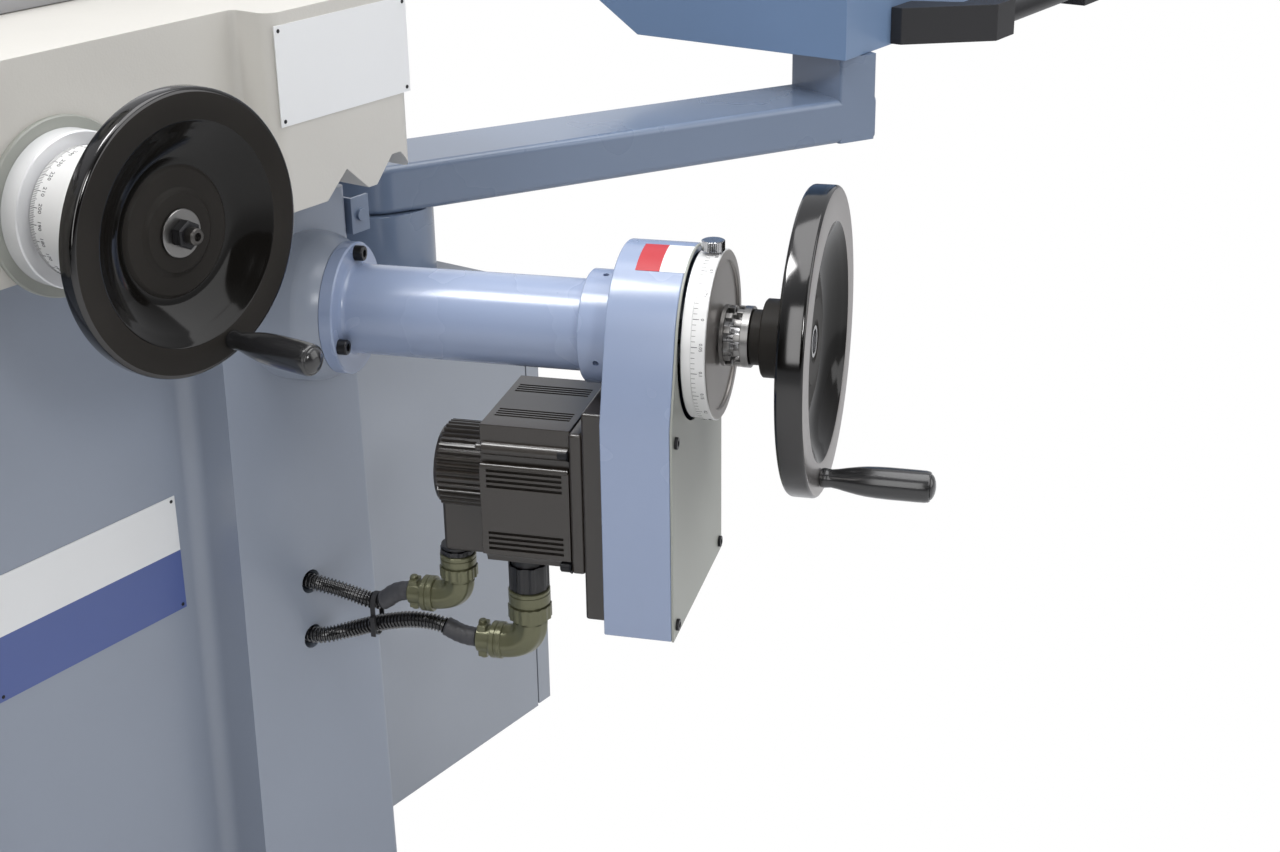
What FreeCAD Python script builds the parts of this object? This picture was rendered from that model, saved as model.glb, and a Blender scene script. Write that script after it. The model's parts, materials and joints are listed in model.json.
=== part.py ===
import FreeCAD, Part
import math
import os

import Sketcher

# Saddle-type surface grinder with a servo down feed, a swivelling control box and an electrical cabinet.
# Millimetres, degrees. X runs to the machine's right, Y to its back, Z up from the floor. The pieces are
# laid out from the machine's centre plane and then moved together, the front right foot onto the origin.

doc = FreeCAD.newDocument("surface_grinder")

SIZES = {
    # Floor, base casting and its drafted walls
    "base_front": 560, "base_back": 500, "base_height": 764, "base_half_top": 323, "base_half_foot": 330,
    "pilaster_edge_top": 166, "pilaster_edge_foot": 154, "recess_depth": 47, "recess_round": 14,
    "base_wall": 24, "base_roof": 40, "base_foot_rise": 42, "edge_round": 4, "ridge_near": 250,
    "ridge_far": 309, "ridge_near_half": 24, "ridge_far_half": 20, "ridge_flat": 5, "base_round": 8,
    "weld": 6, "over": 2, "way_relief": 4, "bed_near": 222, "bed_far": 318, "way_front_gap": 6,
    "way_length": 760, "way_clearance": 0.3, "cable_hole": 11, "cable_hole_first": 419,
    "cable_hole_second": 365, "cable_hole_side": 241, "cable_hole_shift": 3, "nut_long": 40,
    "nut_back": 230, "seat_lip": 14, "seat_rise": 16, "hand_hole_side": 150, "hand_hole_half": 70,
    "hand_hole_low": 180, "hand_hole_high": 480, "foot_radius": 32, "foot_bolt": 10, "foot_spread": 278,
    "foot_inset": 70, "foot_boss": 40, "foot_pad": 14,
    # Column
    "column_half": 165, "column_front": 200, "column_depth": 270, "column_height": 960, "column_wall": 22,
    "column_round": 28, "rail_half": 105, "rail_depth": 26, "rail_lip": 16, "column_slot": 34,
    "slot_low": 900, "slot_top_gap": 60, "column_cap": 12,
    # Saddle
    "saddle_front": 633, "saddle_half": 330, "saddle_lift": 20.5, "saddle_body": 156.5,
    "saddle_length": 545, "saddle_step": 39, "saddle_fillet": 6, "saddle_step_edge": 178,
    "saddle_round": 12, "groove_depth": 21, "table_way_half": 26, "table_way_flat": 8, "room_half": 44,
    "room_front_wall": 46, "pinion_depth": 310, "pinion_shaft": 14, "rack_room_depth": 34,
    "rack_room_low": 34, "table_way_rise": 14, "table_way_spread": 95, "table_centre": 335,
    # Cross-feed dial and wheel
    "cross_grip_angle": -71.7, "down_grip_angle": -107.8, "table_grip_angle": -140, "drum_bore": 30,
    "dial_chamfer": 1, "fit": 0.3, "cross_rise": 66, "cross_reach": 131, "ring_radius": 65.6,
    "ring_thick": 4, "drum_radius": 57, "drum_length": 17, "dial_radius": 47.7, "dial_length": 50,
    "dial_gap": 1.2, "cross_hub": 26, "cross_screw_radius": 12, "cross_screw_length": 560,
    "screw_neck": 9, "cross_wheel": 100, "cross_rim": 16, "cross_rim_band": 22.4, "cross_web": 6,
    "cross_hub_disc": 45, "cross_hub_sink": 13, "cross_boss": 28.6, "cross_boss_sink": 10.5,
    "washer_radius": 17, "washer_thick": 2.5, "nut_radius": 10.5, "nut_thick": 8, "stud_radius": 6,
    "stud_out": 7, "socket_radius": 2.6,
    # Revolving grips, shared shape shares below
    "cross_grip_length": 78, "cross_grip_radius": 11.6, "cross_grip_orbit": 87.5, "grip_gap": 0.6,
    "down_grip_length": 88, "down_grip_radius": 13, "down_grip_orbit": 108.5, "table_grip_length": 78,
    "table_grip_radius": 11.6, "pin_radius": 4, "pin_head": 6.5, "pin_head_gap": 0.4, "pin_set": 2,
    # Down-feed arm: measured outwards from the base front
    "feed_angle": 20.78, "feed_side": 262, "feed_height": 674, "boss_root": 64, "boss_root_depth": 34,
    "boss_shoulder": 14, "boss_bulge": 45, "shaft_bore": 13, "bore_depth": 110, "boss_seat": 36,
    "flange_radius": 56, "flange_thick": 12, "tube_radius": 38, "tube_bore": 33, "tube_length": 283.7,
    "collar_start": 254, "collar_radius": 47, "collar_hole": 2.6, "flange_bolt_circle": 47.5,
    "housing_start": 284, "housing_depth": 57, "housing_round": 73, "housing_half": 91,
    "housing_slope": 16.54, "housing_drop": 236, "housing_wall": 6, "cover_thick": 2, "cover_hole": 72,
    "cover_screw_high": 64, "cover_screw_edge": 11, "cover_screw": 2.5, "cover_screw_length": 10,
    "cover_screw_head": 5, "cover_screw_rise": 2.6, "screw_gap": 0.2, "flange_screw": 4,
    "flange_screw_head": 6.5, "flange_screw_rise": 8, "tube_fillet": 2.5, "bearing_inset": 8,
    "bearing_width": 16, "housing_clear": 8, "down_dial_start": 344.5, "down_dial_radius": 69.5,
    "down_dial_length": 20.5, "down_dial_step": 1.2, "down_dial_scale": 12, "dial_recess": 2,
    "dial_band": 9, "dial_web": 9, "shaft_radius": 10, "shaft_inside": 96, "clutch_radius": 25,
    "clutch_root": 19.5, "clutch_ring": 4, "tooth_depth": 5, "clutch_gap": 3, "down_wheel": 125,
    "down_rim": 22, "down_rim_band": 28, "down_hub_disc": 56, "down_boss": 36, "down_hub_sink": 15,
    "down_boss_sink": 12, "down_hub": 32, "down_hub_back": 52, "down_hub_sleeve_back": 62,
    "down_sleeve": 22.5, "tooth_inset": 0.3, "shaft_end_gap": 20, "down_reach": 451, "bush_radius": 13,
    "running": 0.05, "lock_head": 9.5, "lock_height": 8, "lock_stem": 4.5, "lock_rise": 1.5,
    "lock_place": 11.5,
    # Belt drive and servo motor
    "belt_centres": 135, "big_pulley": 38, "small_pulley": 24, "pulley_width": 22, "pulley_lip": 2.5,
    "belt_slope": 5.95, "belt_thick": 2.6, "belt_gap": 0.3, "pulley_start": 300, "adapter_thick": 23,
    "adapter_half": 65, "adapter_top": 52, "adapter_drop": 238, "motor_half": 63, "motor_length": 89,
    "motor_groove": 11, "slot_depth": 3, "slot_wide": 2.6, "slot_pitch": 4.7, "slot_end": 6,
    "slot_group": 28, "motor_flange": 12, "motor_nose_depth": 20, "motor_shaft": 9.5,
    "encoder_radius": 38, "encoder_groove": 2.4, "encoder_groove_depth": 1.6, "encoder_length": 52, "encoder_block": 27, "encoder_block_drop": 71,
    "plug_radius": 19, "plug_clamp": 14, "plug_side": 10, "plug_step": 2.5, "plug_reach": 22,
    "encoder_plug_out": 130, "power_plug_out": 194, "encoder_plug_drop": 206.3, "power_plug_drop": 198.3,
    "encoder_socket": 9, "power_socket": 44, "encoder_nut": 22, "power_nut": 28, "elbow_ring": 11,
    "clamp_length": 13.5, "power_plug_fall": 99.7, "encoder_plug_fall": 52.7,
    # Conduits, heat-shrink sleeves and tie
    "hose_radius": 7.6, "hose_root": 6.1, "hose_bore": 4.9, "rib_pitch": 3.3, "sleeve_radius": 8.8,
    "sleeve_bore": 8.0, "tie_thick": 1.3, "tie_width": 4.6, "tie_head": 4.2, "tie_tail": 18,
    "tie_out": 50, "tie_high": 274.6, "tie_low": 294.7, "tie_bend": 9.4, "sleeve_length": 30,
    # Electrical cabinet and door
    "cabinet_left": 330.2, "cabinet_lip": 18, "door_back_gap": 6, "hinge_setback": 3, "hinge_leaf": 2.5,
    "cabinet_front": 500, "cabinet_right": 629, "cabinet_depth": 290, "cabinet_foot": 81,
    "cabinet_top": 576, "cabinet_skin": 2.5, "door_gap": 2, "door_thick": 20, "door_skin": 2,
    "hinge_radius": 4.5, "hinge_length": 48,
    # Post, swivel arm and control box
    "post_side": 588, "post_setback": 346, "post_radius": 57, "post_top": 651, "spigot_radius": 44,
    "arm_angle": 26.4, "arm_length": 562, "arm_depth": 50, "arm_half": 52, "arm_wall": 4, "end_post": 48,
    "arm_round": 7, "swivel_gap": 0.4, "arm_cap": 8, "box_pivot_side": 55.4, "box_pivot_setback": 47.1,
    "box_bottom": 749, "box_width": 600, "box_depth": 383, "box_height": 430, "box_flat": 283,
    "box_rise": 64, "box_skin": 3, "box_pivot": 22, "panel_top": 60, "screen_side": 60, "stop_side": 460,
    "stop_rise": 150, "button_gap": 0.3, "button_inside": 20, "stop_cap": 12, "screen_width": 240,
    "screen_height": 150, "handle_radius": 14, "handle_stand": 76, "handle_foot": 46, "handle_first": 102,
    "bracket_length": 122, "handle_overlap_length": 24, "handle_lug": 14, "handle_boss": 21, "handle_heel": 52,
    "handle_length": 250, "handle_rise": 22, "button_radius": 11, "button_travel": 4, "button_out": 8,
    "stop_radius": 20,
    # Guard tab at the base's front corner
    "tab_width": 22, "tab_height": 32, "tab_thick": 3, "tab_drop": 12, "tab_leg": 46, "tab_gap": 0.6,
    "tab_screw": 5.5,
    # Table, chuck and splash guard
    "table_lip": 10, "rack_reach": 540, "rack_half": 10, "rack_gap": 0.5, "chuck_flange": 22,
    "chuck_flange_thick": 14, "guard_out": 40, "guard_front_inset": 20, "table_reach": 72,
    "table_wheel": 80, "table_rim_band": 18, "table_disc": 38, "table_grip_orbit": 69, "pinion_half": 12,
    "table_half": 560, "table_width": 250, "table_thick": 58, "chuck_length": 500, "chuck_width": 220,
    "chuck_height": 72, "guard_height": 100, "guard_skin": 3, "table_wheel_side": 262,
    "table_wheel_rise": 96, "pinion_radius": 22,
    # Wheel head, spindle and grinding wheel
    "head_height": 1300, "head_half": 118, "head_rise": 130, "head_front": 70, "gib_gap": 0.3,
    "motor_barrel": 92, "barrel_front": 265, "barrel_fin": 3, "wheel_plane": 318, "wheel_radius": 100,
    "wheel_thick": 20, "wheel_bore": 16, "spindle_radius": 15.9, "wheel_flange": 38, "flange_plate": 8,
    "guard_side": 40, "guard_skirt": 24, "nose_length": 16, "nose_radius": 60, "spindle_room": 60,
    "spindle_tail": 50, "screw_depth": 262, "guard_radius": 122, "guard_wall": 4, "lead_radius": 14,
    "lead_length": 900, "nut_half": 30,
}

# Shares of the sizes that they follow
GRIP_SHARES = ((0.0, 0.56), (0.05, 0.50), (0.16, 0.56), (0.42, 0.93), (0.66, 1.0), (0.94, 0.98))
FLANGE_BOLT_ANGLES = (84, 204, 324)
COLLAR_HOLE_ANGLES = (98, 200)
CLUTCH_TEETH = 12
ENCODER_RIDGES = 44
SLOT_COUNT = 4
BARREL_FINS = 9
SLEEVE_RINGS = 14
BEND_SHARE = 0.45
RIB_SHARES = (0.0, 0.22, 0.56, 0.78)
TOOTH_SHARE = 0.45
FIN_SHARE = 0.5
NECK_SHARE = 0.72
SOCKET_BODY_SHARE = 0.86
CLAMP_SHARE = 0.9
SOCKET_SHARE = 0.55
SOCKET_DEPTH_SHARE = 0.6
HINGE_SHARES = (0.14, 0.76)


class Dim:
    """A size with its value and the sheet expression that gives it."""

    def __init__(self, value, text):
        self.value = value
        self.text = text

    def join(self, other, sign, value):
        text = other.text if isinstance(other, Dim) else repr(float(other))
        return Dim(value, "(" + self.text + " " + sign + " " + text + ")")

    def __add__(self, other):
        return self.join(other, "+", self.value + number(other))

    def __radd__(self, other):
        return self + other

    def __sub__(self, other):
        return self.join(other, "-", self.value - number(other))

    def __rsub__(self, other):
        return -self + other

    def __mul__(self, other):
        return self.join(other, "*", self.value * number(other))

    def __rmul__(self, other):
        return self * other

    def __truediv__(self, other):
        return self.join(other, "/", self.value / number(other))

    def __neg__(self):
        return Dim(-self.value, "(-1 * " + self.text + ")")


def number(item):
    """The plain value of a size or a number."""
    return item.value if isinstance(item, Dim) else item


def as_dim(item):
    return item if isinstance(item, Dim) else Dim(item, repr(float(item)))


def cosine(angle):
    return Dim(math.cos(math.radians(angle.value)), "cos(" + angle.text + " * 1deg)")


def sine(angle):
    return Dim(math.sin(math.radians(angle.value)), "sin(" + angle.text + " * 1deg)")


class Sizes:
    """The driving sheet: one cell with an alias for each named size."""

    def __init__(self, table):
        sheet = doc.addObject("Spreadsheet::Sheet", "Sizes")
        for row, (name, value) in enumerate(table.items(), start=1):
            sheet.set("A%d" % row, name)
            sheet.set("B%d" % row, str(value))
            sheet.setAlias("B%d" % row, name)
            setattr(self, name, Dim(float(value), "Sizes." + name))


S = Sizes(SIZES)
doc.recompute()
ZERO = as_dim(0)
ONE = as_dim(1)
PARTS = []
SCREWS = []


# Frames: an origin and a turn about Z
class Frame:
    """A local frame; pieces on it point outwards along its own -Y."""

    def __init__(self, x=ZERO, y=ZERO, z=ZERO, turn=None):
        self.origin = (as_dim(x), as_dim(y), as_dim(z))
        self.turn = turn

    def point(self, x, y, z):
        """Sizes of a local point in the machine frame."""
        if self.turn is None:
            local = (as_dim(x), as_dim(y), as_dim(z))
        else:
            c, s = cosine(self.turn), sine(self.turn)
            local = (c * x - s * y, s * x + c * y, as_dim(z))
        return tuple(base + step for base, step in zip(self.origin, local))

    def seat(self, piece, x=ZERO, y=ZERO, z=ZERO):
        """Places a finished piece on this frame."""
        spot = self.point(x, y, z)
        angle = self.turn.value if self.turn else 0
        turn = FreeCAD.Rotation(FreeCAD.Vector(0, 0, 1), angle)
        piece.Placement = FreeCAD.Placement(vector(spot), turn)
        if self.turn:
            piece.setExpression("Placement.Rotation.Angle", self.turn.text)
        bind_spot(piece, "Placement.Base", spot)
        return piece


def vector(spot):
    return FreeCAD.Vector(*[number(item) for item in spot])


def bind(piece, name, size):
    """Sets a property and ties it to the sheet."""
    size = as_dim(size)
    if "." not in name:
        setattr(piece, name, size.value)
    piece.setExpression(name, size.text)


def bind_spot(piece, name, spot):
    for axis, size in zip("xyz", spot):
        size = as_dim(size)
        if "Sizes." in size.text:
            piece.setExpression(name + "." + axis, size.text)


CROSS_GRIP_ANGLE = S.cross_grip_angle
DOWN_GRIP_ANGLE = S.down_grip_angle
TABLE_GRIP_ANGLE = S.table_grip_angle
MACHINE = Frame()
FEED = Frame(S.feed_side, -S.base_front, S.feed_height, S.feed_angle)
SADDLE_FACE = -S.saddle_front + S.saddle_step
SADDLE_BOTTOM = S.base_height + S.saddle_lift
SADDLE_TOP = SADDLE_BOTTOM + S.saddle_body
CROSS_HEIGHT = S.base_height + S.cross_rise
TABLE_WHEEL_HEIGHT = S.base_height + S.table_wheel_rise
CROSS = Frame(ZERO, SADDLE_FACE, CROSS_HEIGHT)
TABLE_WHEEL = Frame(-S.table_wheel_side, -S.saddle_front, TABLE_WHEEL_HEIGHT)
ARM = Frame(S.post_side, -S.post_setback, ZERO, -S.arm_angle)


# Sketches and features of a body
def new_body(label):
    body = doc.addObject("PartDesign::Body", label)
    body.Label = label
    return body


def draw_circle(sketch, x, y, radius):
    x, y, radius = as_dim(x), as_dim(y), as_dim(radius)
    shape = Part.Circle(FreeCAD.Vector(x.value, y.value, 0), FreeCAD.Vector(0, 0, 1), radius.value)
    index = sketch.addGeometry(shape, False)
    tie(sketch, Sketcher.Constraint("DistanceX", index, 3, x.value), x)
    tie(sketch, Sketcher.Constraint("DistanceY", index, 3, y.value), y)
    tie(sketch, Sketcher.Constraint("Radius", index, radius.value), radius)


def tie(sketch, constraint, size):
    """Adds a constraint that follows a sheet expression."""
    index = sketch.addConstraint(constraint)
    if "Sizes." in size.text:
        sketch.setExpression("Constraints[%d]" % index, size.text)


def arc_through(start, end, bend):
    """Arc from start to end: a left turn for a positive bend, a right turn for a negative one."""
    chord = end - start
    radius = abs(bend)
    rise = math.sqrt(max(radius * radius - chord.Length ** 2 / 4, 0))
    left = FreeCAD.Vector(-chord.y, chord.x, 0).normalize()
    side = 1 if bend > 0 else -1
    centre = (start + end) * 0.5 + left * (rise * side)
    first, last = (start, end) if bend > 0 else (end, start)
    angles = [math.atan2(spot.y - centre.y, spot.x - centre.x) for spot in (first, last)]
    if angles[1] < angles[0]:
        angles[1] += 2 * math.pi
    circle = Part.Circle(centre, FreeCAD.Vector(0, 0, 1), radius)
    return Part.ArcOfCircle(circle, angles[0], angles[1])


def draw_outline(sketch, outline):
    """Closed outline; a corner's third value is the bend of the side that leads to it."""
    corners = [(as_dim(item[0]), as_dim(item[1])) for item in outline]
    spots = [FreeCAD.Vector(x.value, y.value, 0) for x, y in corners]
    count = len(outline)
    sides = []
    for index in range(count):
        after = (index + 1) % count
        start, end = spots[index], spots[after]
        if len(outline[after]) > 2:
            bend = outline[after][2]
            shape = arc_through(start, end, bend.value)
            ends = (1, 2) if bend.value > 0 else (2, 1)
        else:
            bend = None
            shape = Part.LineSegment(start, end)
            ends = (1, 2)
        sides.append((sketch.addGeometry(shape, False), ends, bend))
    for index, (side, ends, bend) in enumerate(sides):
        other, other_ends, _ = sides[(index + 1) % count]
        sketch.addConstraint(Sketcher.Constraint("Coincident", side, ends[1], other, other_ends[0]))
        x, y = corners[index]
        tie(sketch, Sketcher.Constraint("DistanceX", side, ends[0], x.value), x)
        tie(sketch, Sketcher.Constraint("DistanceY", side, ends[0], y.value), y)
        if bend is not None:
            radius = bend if bend.value > 0 else -bend
            tie(sketch, Sketcher.Constraint("Radius", side, radius.value), radius)


def new_sketch(body, role, outlines, lift=ZERO):
    """Sketch on one of the body's own planes, lifted along that plane's normal."""
    sketch = body.newObject("Sketcher::SketchObject", body.Label + "_sketch")
    plane = [item for item in body.Origin.OriginFeatures if item.Role == role][0]
    sketch.AttachmentSupport = [(plane, "")]
    sketch.MapMode = "FlatFace"
    lift = as_dim(lift)
    sketch.AttachmentOffset = FreeCAD.Placement(FreeCAD.Vector(0, 0, lift.value), FreeCAD.Rotation())
    bind_spot(sketch, "AttachmentOffset.Base", (ZERO, ZERO, lift))
    for outline in outlines:
        if outline[0] == "circle":
            draw_circle(sketch, *outline[1:])
        else:
            draw_outline(sketch, outline)
    return sketch


def pad(body, role, outlines, length, lift=ZERO):
    sketch = new_sketch(body, role, outlines, lift)
    feature = body.newObject("PartDesign::Pad", body.Label + "_pad")
    feature.Profile = sketch
    bind(feature, "Length", length)
    return feature


def pocket(body, role, outlines, length, lift=ZERO):
    """Cut that runs along the plane's normal from its lifted sketch."""
    sketch = new_sketch(body, role, outlines, lift)
    feature = body.newObject("PartDesign::Pocket", body.Label + "_pocket")
    feature.Profile = sketch
    feature.Reversed = True
    bind(feature, "Length", length)
    return feature


def ring_pattern(body, feature, count):
    """Repeats a feature round the normal of its own sketch."""
    pattern = body.newObject("PartDesign::PolarPattern", body.Label + "_pattern")
    pattern.Originals = [feature]
    pattern.Axis = (feature.Profile[0], ["N_Axis"])
    pattern.Angle = 360
    pattern.Occurrences = count
    body.Tip = pattern
    return pattern


def turn_profile(body, profile, axis="Y"):
    """Revolution of (outward distance, radius) pairs, or (radius, height) pairs about Z."""
    if axis == "Y":
        outline = [(as_dim(item[1]), -as_dim(item[0])) + tuple(item[2:]) for item in profile]
        sketch = new_sketch(body, "XY_Plane", [outline])
    else:
        sketch = new_sketch(body, "XZ_Plane", [profile])
    feature = body.newObject("PartDesign::Revolution", body.Label + "_turn")
    feature.Profile = sketch
    feature.ReferenceAxis = (sketch, ["V_Axis"])
    feature.Angle = 360
    return feature


def turned(label, profile, frame, x=ZERO, z=ZERO, axis="Y"):
    """Turned piece on a frame's outward axis, or on a vertical axis."""
    body = new_body(label)
    turn_profile(body, profile, axis)
    frame.seat(body, x, ZERO, z)
    return body


def bushing(label, start, end, bore, radius, frame, x=ZERO, z=ZERO):
    """Plain ring from start to end on a frame's outward axis."""
    return turned(label, [(start, bore), (end, bore), (end, radius), (start, radius)], frame, x, z)


# Primitives and booleans
def box(name, low, high):
    """Block between two opposite corners."""
    block = doc.addObject("Part::Box", name)
    block.Placement.Base = vector(low)
    bind_spot(block, "Placement.Base", low)
    for side, start, end in zip(("Length", "Width", "Height"), low, high):
        bind(block, side, as_dim(end) - start)
    return block


def rod(name, start, end, radius, axis="Z"):
    """Round bar along an axis between two points that differ on it only."""
    bar = doc.addObject("Part::Cylinder", name)
    turns = {"Z": (0, 0, 1, 0), "X": (0, 1, 0, 90), "Y": (1, 0, 0, -90)}
    x, y, z, angle = turns[axis]
    bar.Placement = FreeCAD.Placement(vector(start), FreeCAD.Rotation(FreeCAD.Vector(x, y, z), angle))
    bind_spot(bar, "Placement.Base", start)
    bind(bar, "Radius", radius)
    place = "XYZ".index(axis)
    bind(bar, "Height", as_dim(end[place]) - start[place])
    return bar


def fuse(name, items):
    joined = doc.addObject("Part::MultiFuse", name)
    joined.Shapes = items
    return joined


def cut(name, base, tools):
    result = doc.addObject("Part::Cut", name)
    result.Base = base
    result.Tool = tools[0] if len(tools) == 1 else fuse(name + "_tools", tools)
    return result


def group(name, items):
    """Separate solids of one kind in one node."""
    cluster = doc.addObject("Part::Compound", name)
    cluster.Links = items
    return cluster


def keep(piece, label):
    """Moves a finished piece so that the front right foot stands on the origin, and lists it for export."""
    placed = doc.addObject("Part::Compound", label)
    placed.Links = [piece]
    shift = (-S.foot_spread, S.base_front - S.foot_inset, ZERO)
    placed.Placement.Base = vector(shift)
    bind_spot(placed, "Placement.Base", shift)
    placed.Label = label
    PARTS.append(placed)
    return placed


def prism(name, outline, start, end, plane="XY_Plane", frame=MACHINE):
    """Body extruded from start to end along a plane's normal (XZ_Plane points to the front)."""
    body = new_body(name)
    outlines = outline if isinstance(outline[0], list) else [outline]
    pad(body, plane, outlines, as_dim(end) - start, start)
    frame.seat(body)
    return body


def rectangle(left, low, right, high):
    return [(left, low), (right, low), (right, high), (left, high)]


def rounded_rectangle(left, low, right, high, bend):
    """Rectangle with equal round corners."""
    left, low, right, high = [as_dim(item) for item in (left, low, right, high)]
    return [
        (left + bend, low, bend), (right - bend, low), (right, low + bend, bend), (right, high - bend),
        (right - bend, high, bend), (left + bend, high), (left, high - bend, bend), (left, low + bend),
    ]


def wedge(inner, outer, middle, half):
    """Tooth outline between two radii, symmetric about an angle; angles in degrees."""
    spots = []
    for radius, angle in ((inner, -half), (outer, -half), (outer, half), (inner, half)):
        turn = math.radians(middle + angle)
        spots.append((radius * math.cos(turn), radius * math.sin(turn)))
    return spots


# Base casting
def base_outline(half, edge, lift_round):
    """Plan of the base at one height, with the recess between the front pilasters."""
    inner = -S.base_front + S.recess_depth
    soft = S.recess_round
    return [
        (-half, S.base_back), (-half, -S.base_front + lift_round),
        (-half + lift_round, -S.base_front, lift_round),
        (-edge, -S.base_front), (-edge, inner - soft), (-edge + soft, inner, -soft),
        (edge - soft, inner), (edge, inner - soft, -soft), (edge, -S.base_front),
        (half - lift_round, -S.base_front), (half, -S.base_front + lift_round, lift_round),
        (half, S.base_back),
    ]


def way_points(side, drop):
    """Double-V way seen from the front, from the inner foot outwards; drop leaves the running gap."""
    low = SADDLE_BOTTOM - drop
    high = low + S.groove_depth
    near, far = S.ridge_near, S.ridge_far
    points = [
        (near - S.ridge_near_half, low), (near, high), (near + S.ridge_near_half, low),
        (far - S.ridge_flat - S.ridge_far_half, low), (far - S.ridge_flat, high), (far + S.ridge_flat, high),
    ]
    return [(x * side, z) for x, z in points]


def way_flank(edge, drop):
    """Height of the outer flank of the far ridge at a distance from the centre plane."""
    fall = (edge - S.ridge_far - S.ridge_flat) * S.groove_depth / S.ridge_far_half
    return SADDLE_BOTTOM - drop + S.groove_depth - fall


def foot_spots():
    """Places of the four levelling feet."""
    return [(side * S.foot_spread, depth) for side in (-ONE, ONE)
            for depth in (-S.base_front + S.foot_inset, S.base_back - S.foot_inset)]


def make_base():
    body = new_body("base_casting")
    foot = new_sketch(body, "XY_Plane", [base_outline(S.base_half_foot, S.pilaster_edge_foot, S.base_round)],
                      S.base_foot_rise)
    top = new_sketch(body, "XY_Plane", [base_outline(S.base_half_top, S.pilaster_edge_top, S.base_round)],
                     S.base_height)
    walls = body.newObject("PartDesign::AdditiveLoft", "base_walls")
    walls.Profile = foot
    walls.Sections = [top]
    walls.Ruled = True
    room_front = -S.base_front + S.recess_depth + S.base_wall
    room = rectangle(-S.base_half_top + S.base_wall, room_front,
                     S.base_half_top - S.base_wall, S.base_back - S.base_wall)
    pocket(body, "XY_Plane", [room], S.base_height - S.base_roof - S.base_foot_rise, S.base_foot_rise)
    boss = turned("feed_boss", [
        (-S.boss_root_depth, S.shaft_bore), (S.boss_seat, S.shaft_bore), (S.boss_seat, S.flange_radius),
        (S.boss_shoulder, S.boss_root, S.boss_bulge), (-S.boss_root_depth, S.boss_root),
    ], FEED)
    ways = []
    for name, side in (("right_way", ONE), ("left_way", -ONE)):
        points = [(S.bed_near * side, S.base_height - S.weld),
                  (S.bed_near * side, SADDLE_BOTTOM - S.way_relief)]
        points += way_points(side, S.way_clearance)
        points += [(S.bed_far * side, way_flank(S.bed_far, S.way_clearance)),
                   (S.bed_far * side, S.base_height - S.weld)]
        front = S.base_front - S.way_front_gap
        ways.append(prism(name, points, front - S.way_length, front, "XZ_Plane"))
    nut_low = (-S.nut_half, -S.nut_back - S.nut_long, S.base_height - S.weld)
    nut_high = (S.nut_half, -S.nut_back, CROSS_HEIGHT + S.nut_half)
    nut = box("cross_nut", nut_low, nut_high)
    seat_low = (-S.column_half - S.seat_lip, S.column_front - S.seat_lip, S.base_height - S.weld)
    seat_high = (S.column_half + S.seat_lip, S.column_front + S.column_depth + S.seat_lip,
                 S.base_height + S.seat_rise)
    seat = box("column_seat", seat_low, seat_high)
    pads = []
    for index, (x, y) in enumerate(foot_spots()):
        low = (x - S.foot_boss, y - S.foot_boss, S.base_foot_rise)
        high = (x + S.foot_boss, y + S.foot_boss, S.base_foot_rise + S.foot_boss)
        pads.append(box("foot_boss_%d" % (index + 1), low, high))
    casting = fuse("base_joined", [body, boss] + ways + [nut, seat] + pads)
    holes = [rod("nut_bore", (ZERO, -S.nut_back - S.nut_long - S.over, CROSS_HEIGHT),
                 (ZERO, -S.nut_back + S.over, CROSS_HEIGHT), S.cross_screw_radius + S.running, "Y")]
    lower_side = S.cable_hole_side - S.cable_hole_shift
    for name, height, side in (("upper_cable_hole", S.cable_hole_first, S.cable_hole_side),
                               ("lower_cable_hole", S.cable_hole_second, lower_side)):
        start = -S.base_front - S.over
        end = -S.base_front + S.recess_depth + S.base_wall + S.over
        holes.append(rod(name, (side, start, height), (side, end, height), S.cable_hole, "Y"))
    holes.append(bushing_rod("boss_bore", FEED, ZERO, ZERO, -S.bore_depth, S.boss_seat + S.over,
                             S.shaft_bore))
    for side, name in ((ONE, "right_hand_hole"), (-ONE, "left_hand_hole")):
        low = (side * S.hand_hole_side - S.hand_hole_half, S.base_back - S.base_wall - S.over,
               S.hand_hole_low)
        high = (side * S.hand_hole_side + S.hand_hole_half, S.base_back + S.over, S.hand_hole_high)
        holes.append(box(name, low, high))
    return keep(cut("base_finished", casting, holes), "base")


def make_feet():
    feet = []
    for index, (x, y) in enumerate(foot_spots()):
        name = "levelling_foot_%d" % (index + 1)
        profile = [
            (ZERO, ZERO), (S.foot_radius, ZERO), (S.foot_radius, S.foot_pad / 2),
            (S.foot_bolt * 2, S.foot_pad), (S.foot_bolt, S.foot_pad),
            (S.foot_bolt, S.base_foot_rise), (ZERO, S.base_foot_rise),
        ]
        body = new_body(name)
        turn_profile(body, profile, "Z")
        MACHINE.seat(body, x, y, ZERO)
        feet.append(body)
    return keep(group("levelling_feet_group", feet), "levelling_feet")


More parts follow.
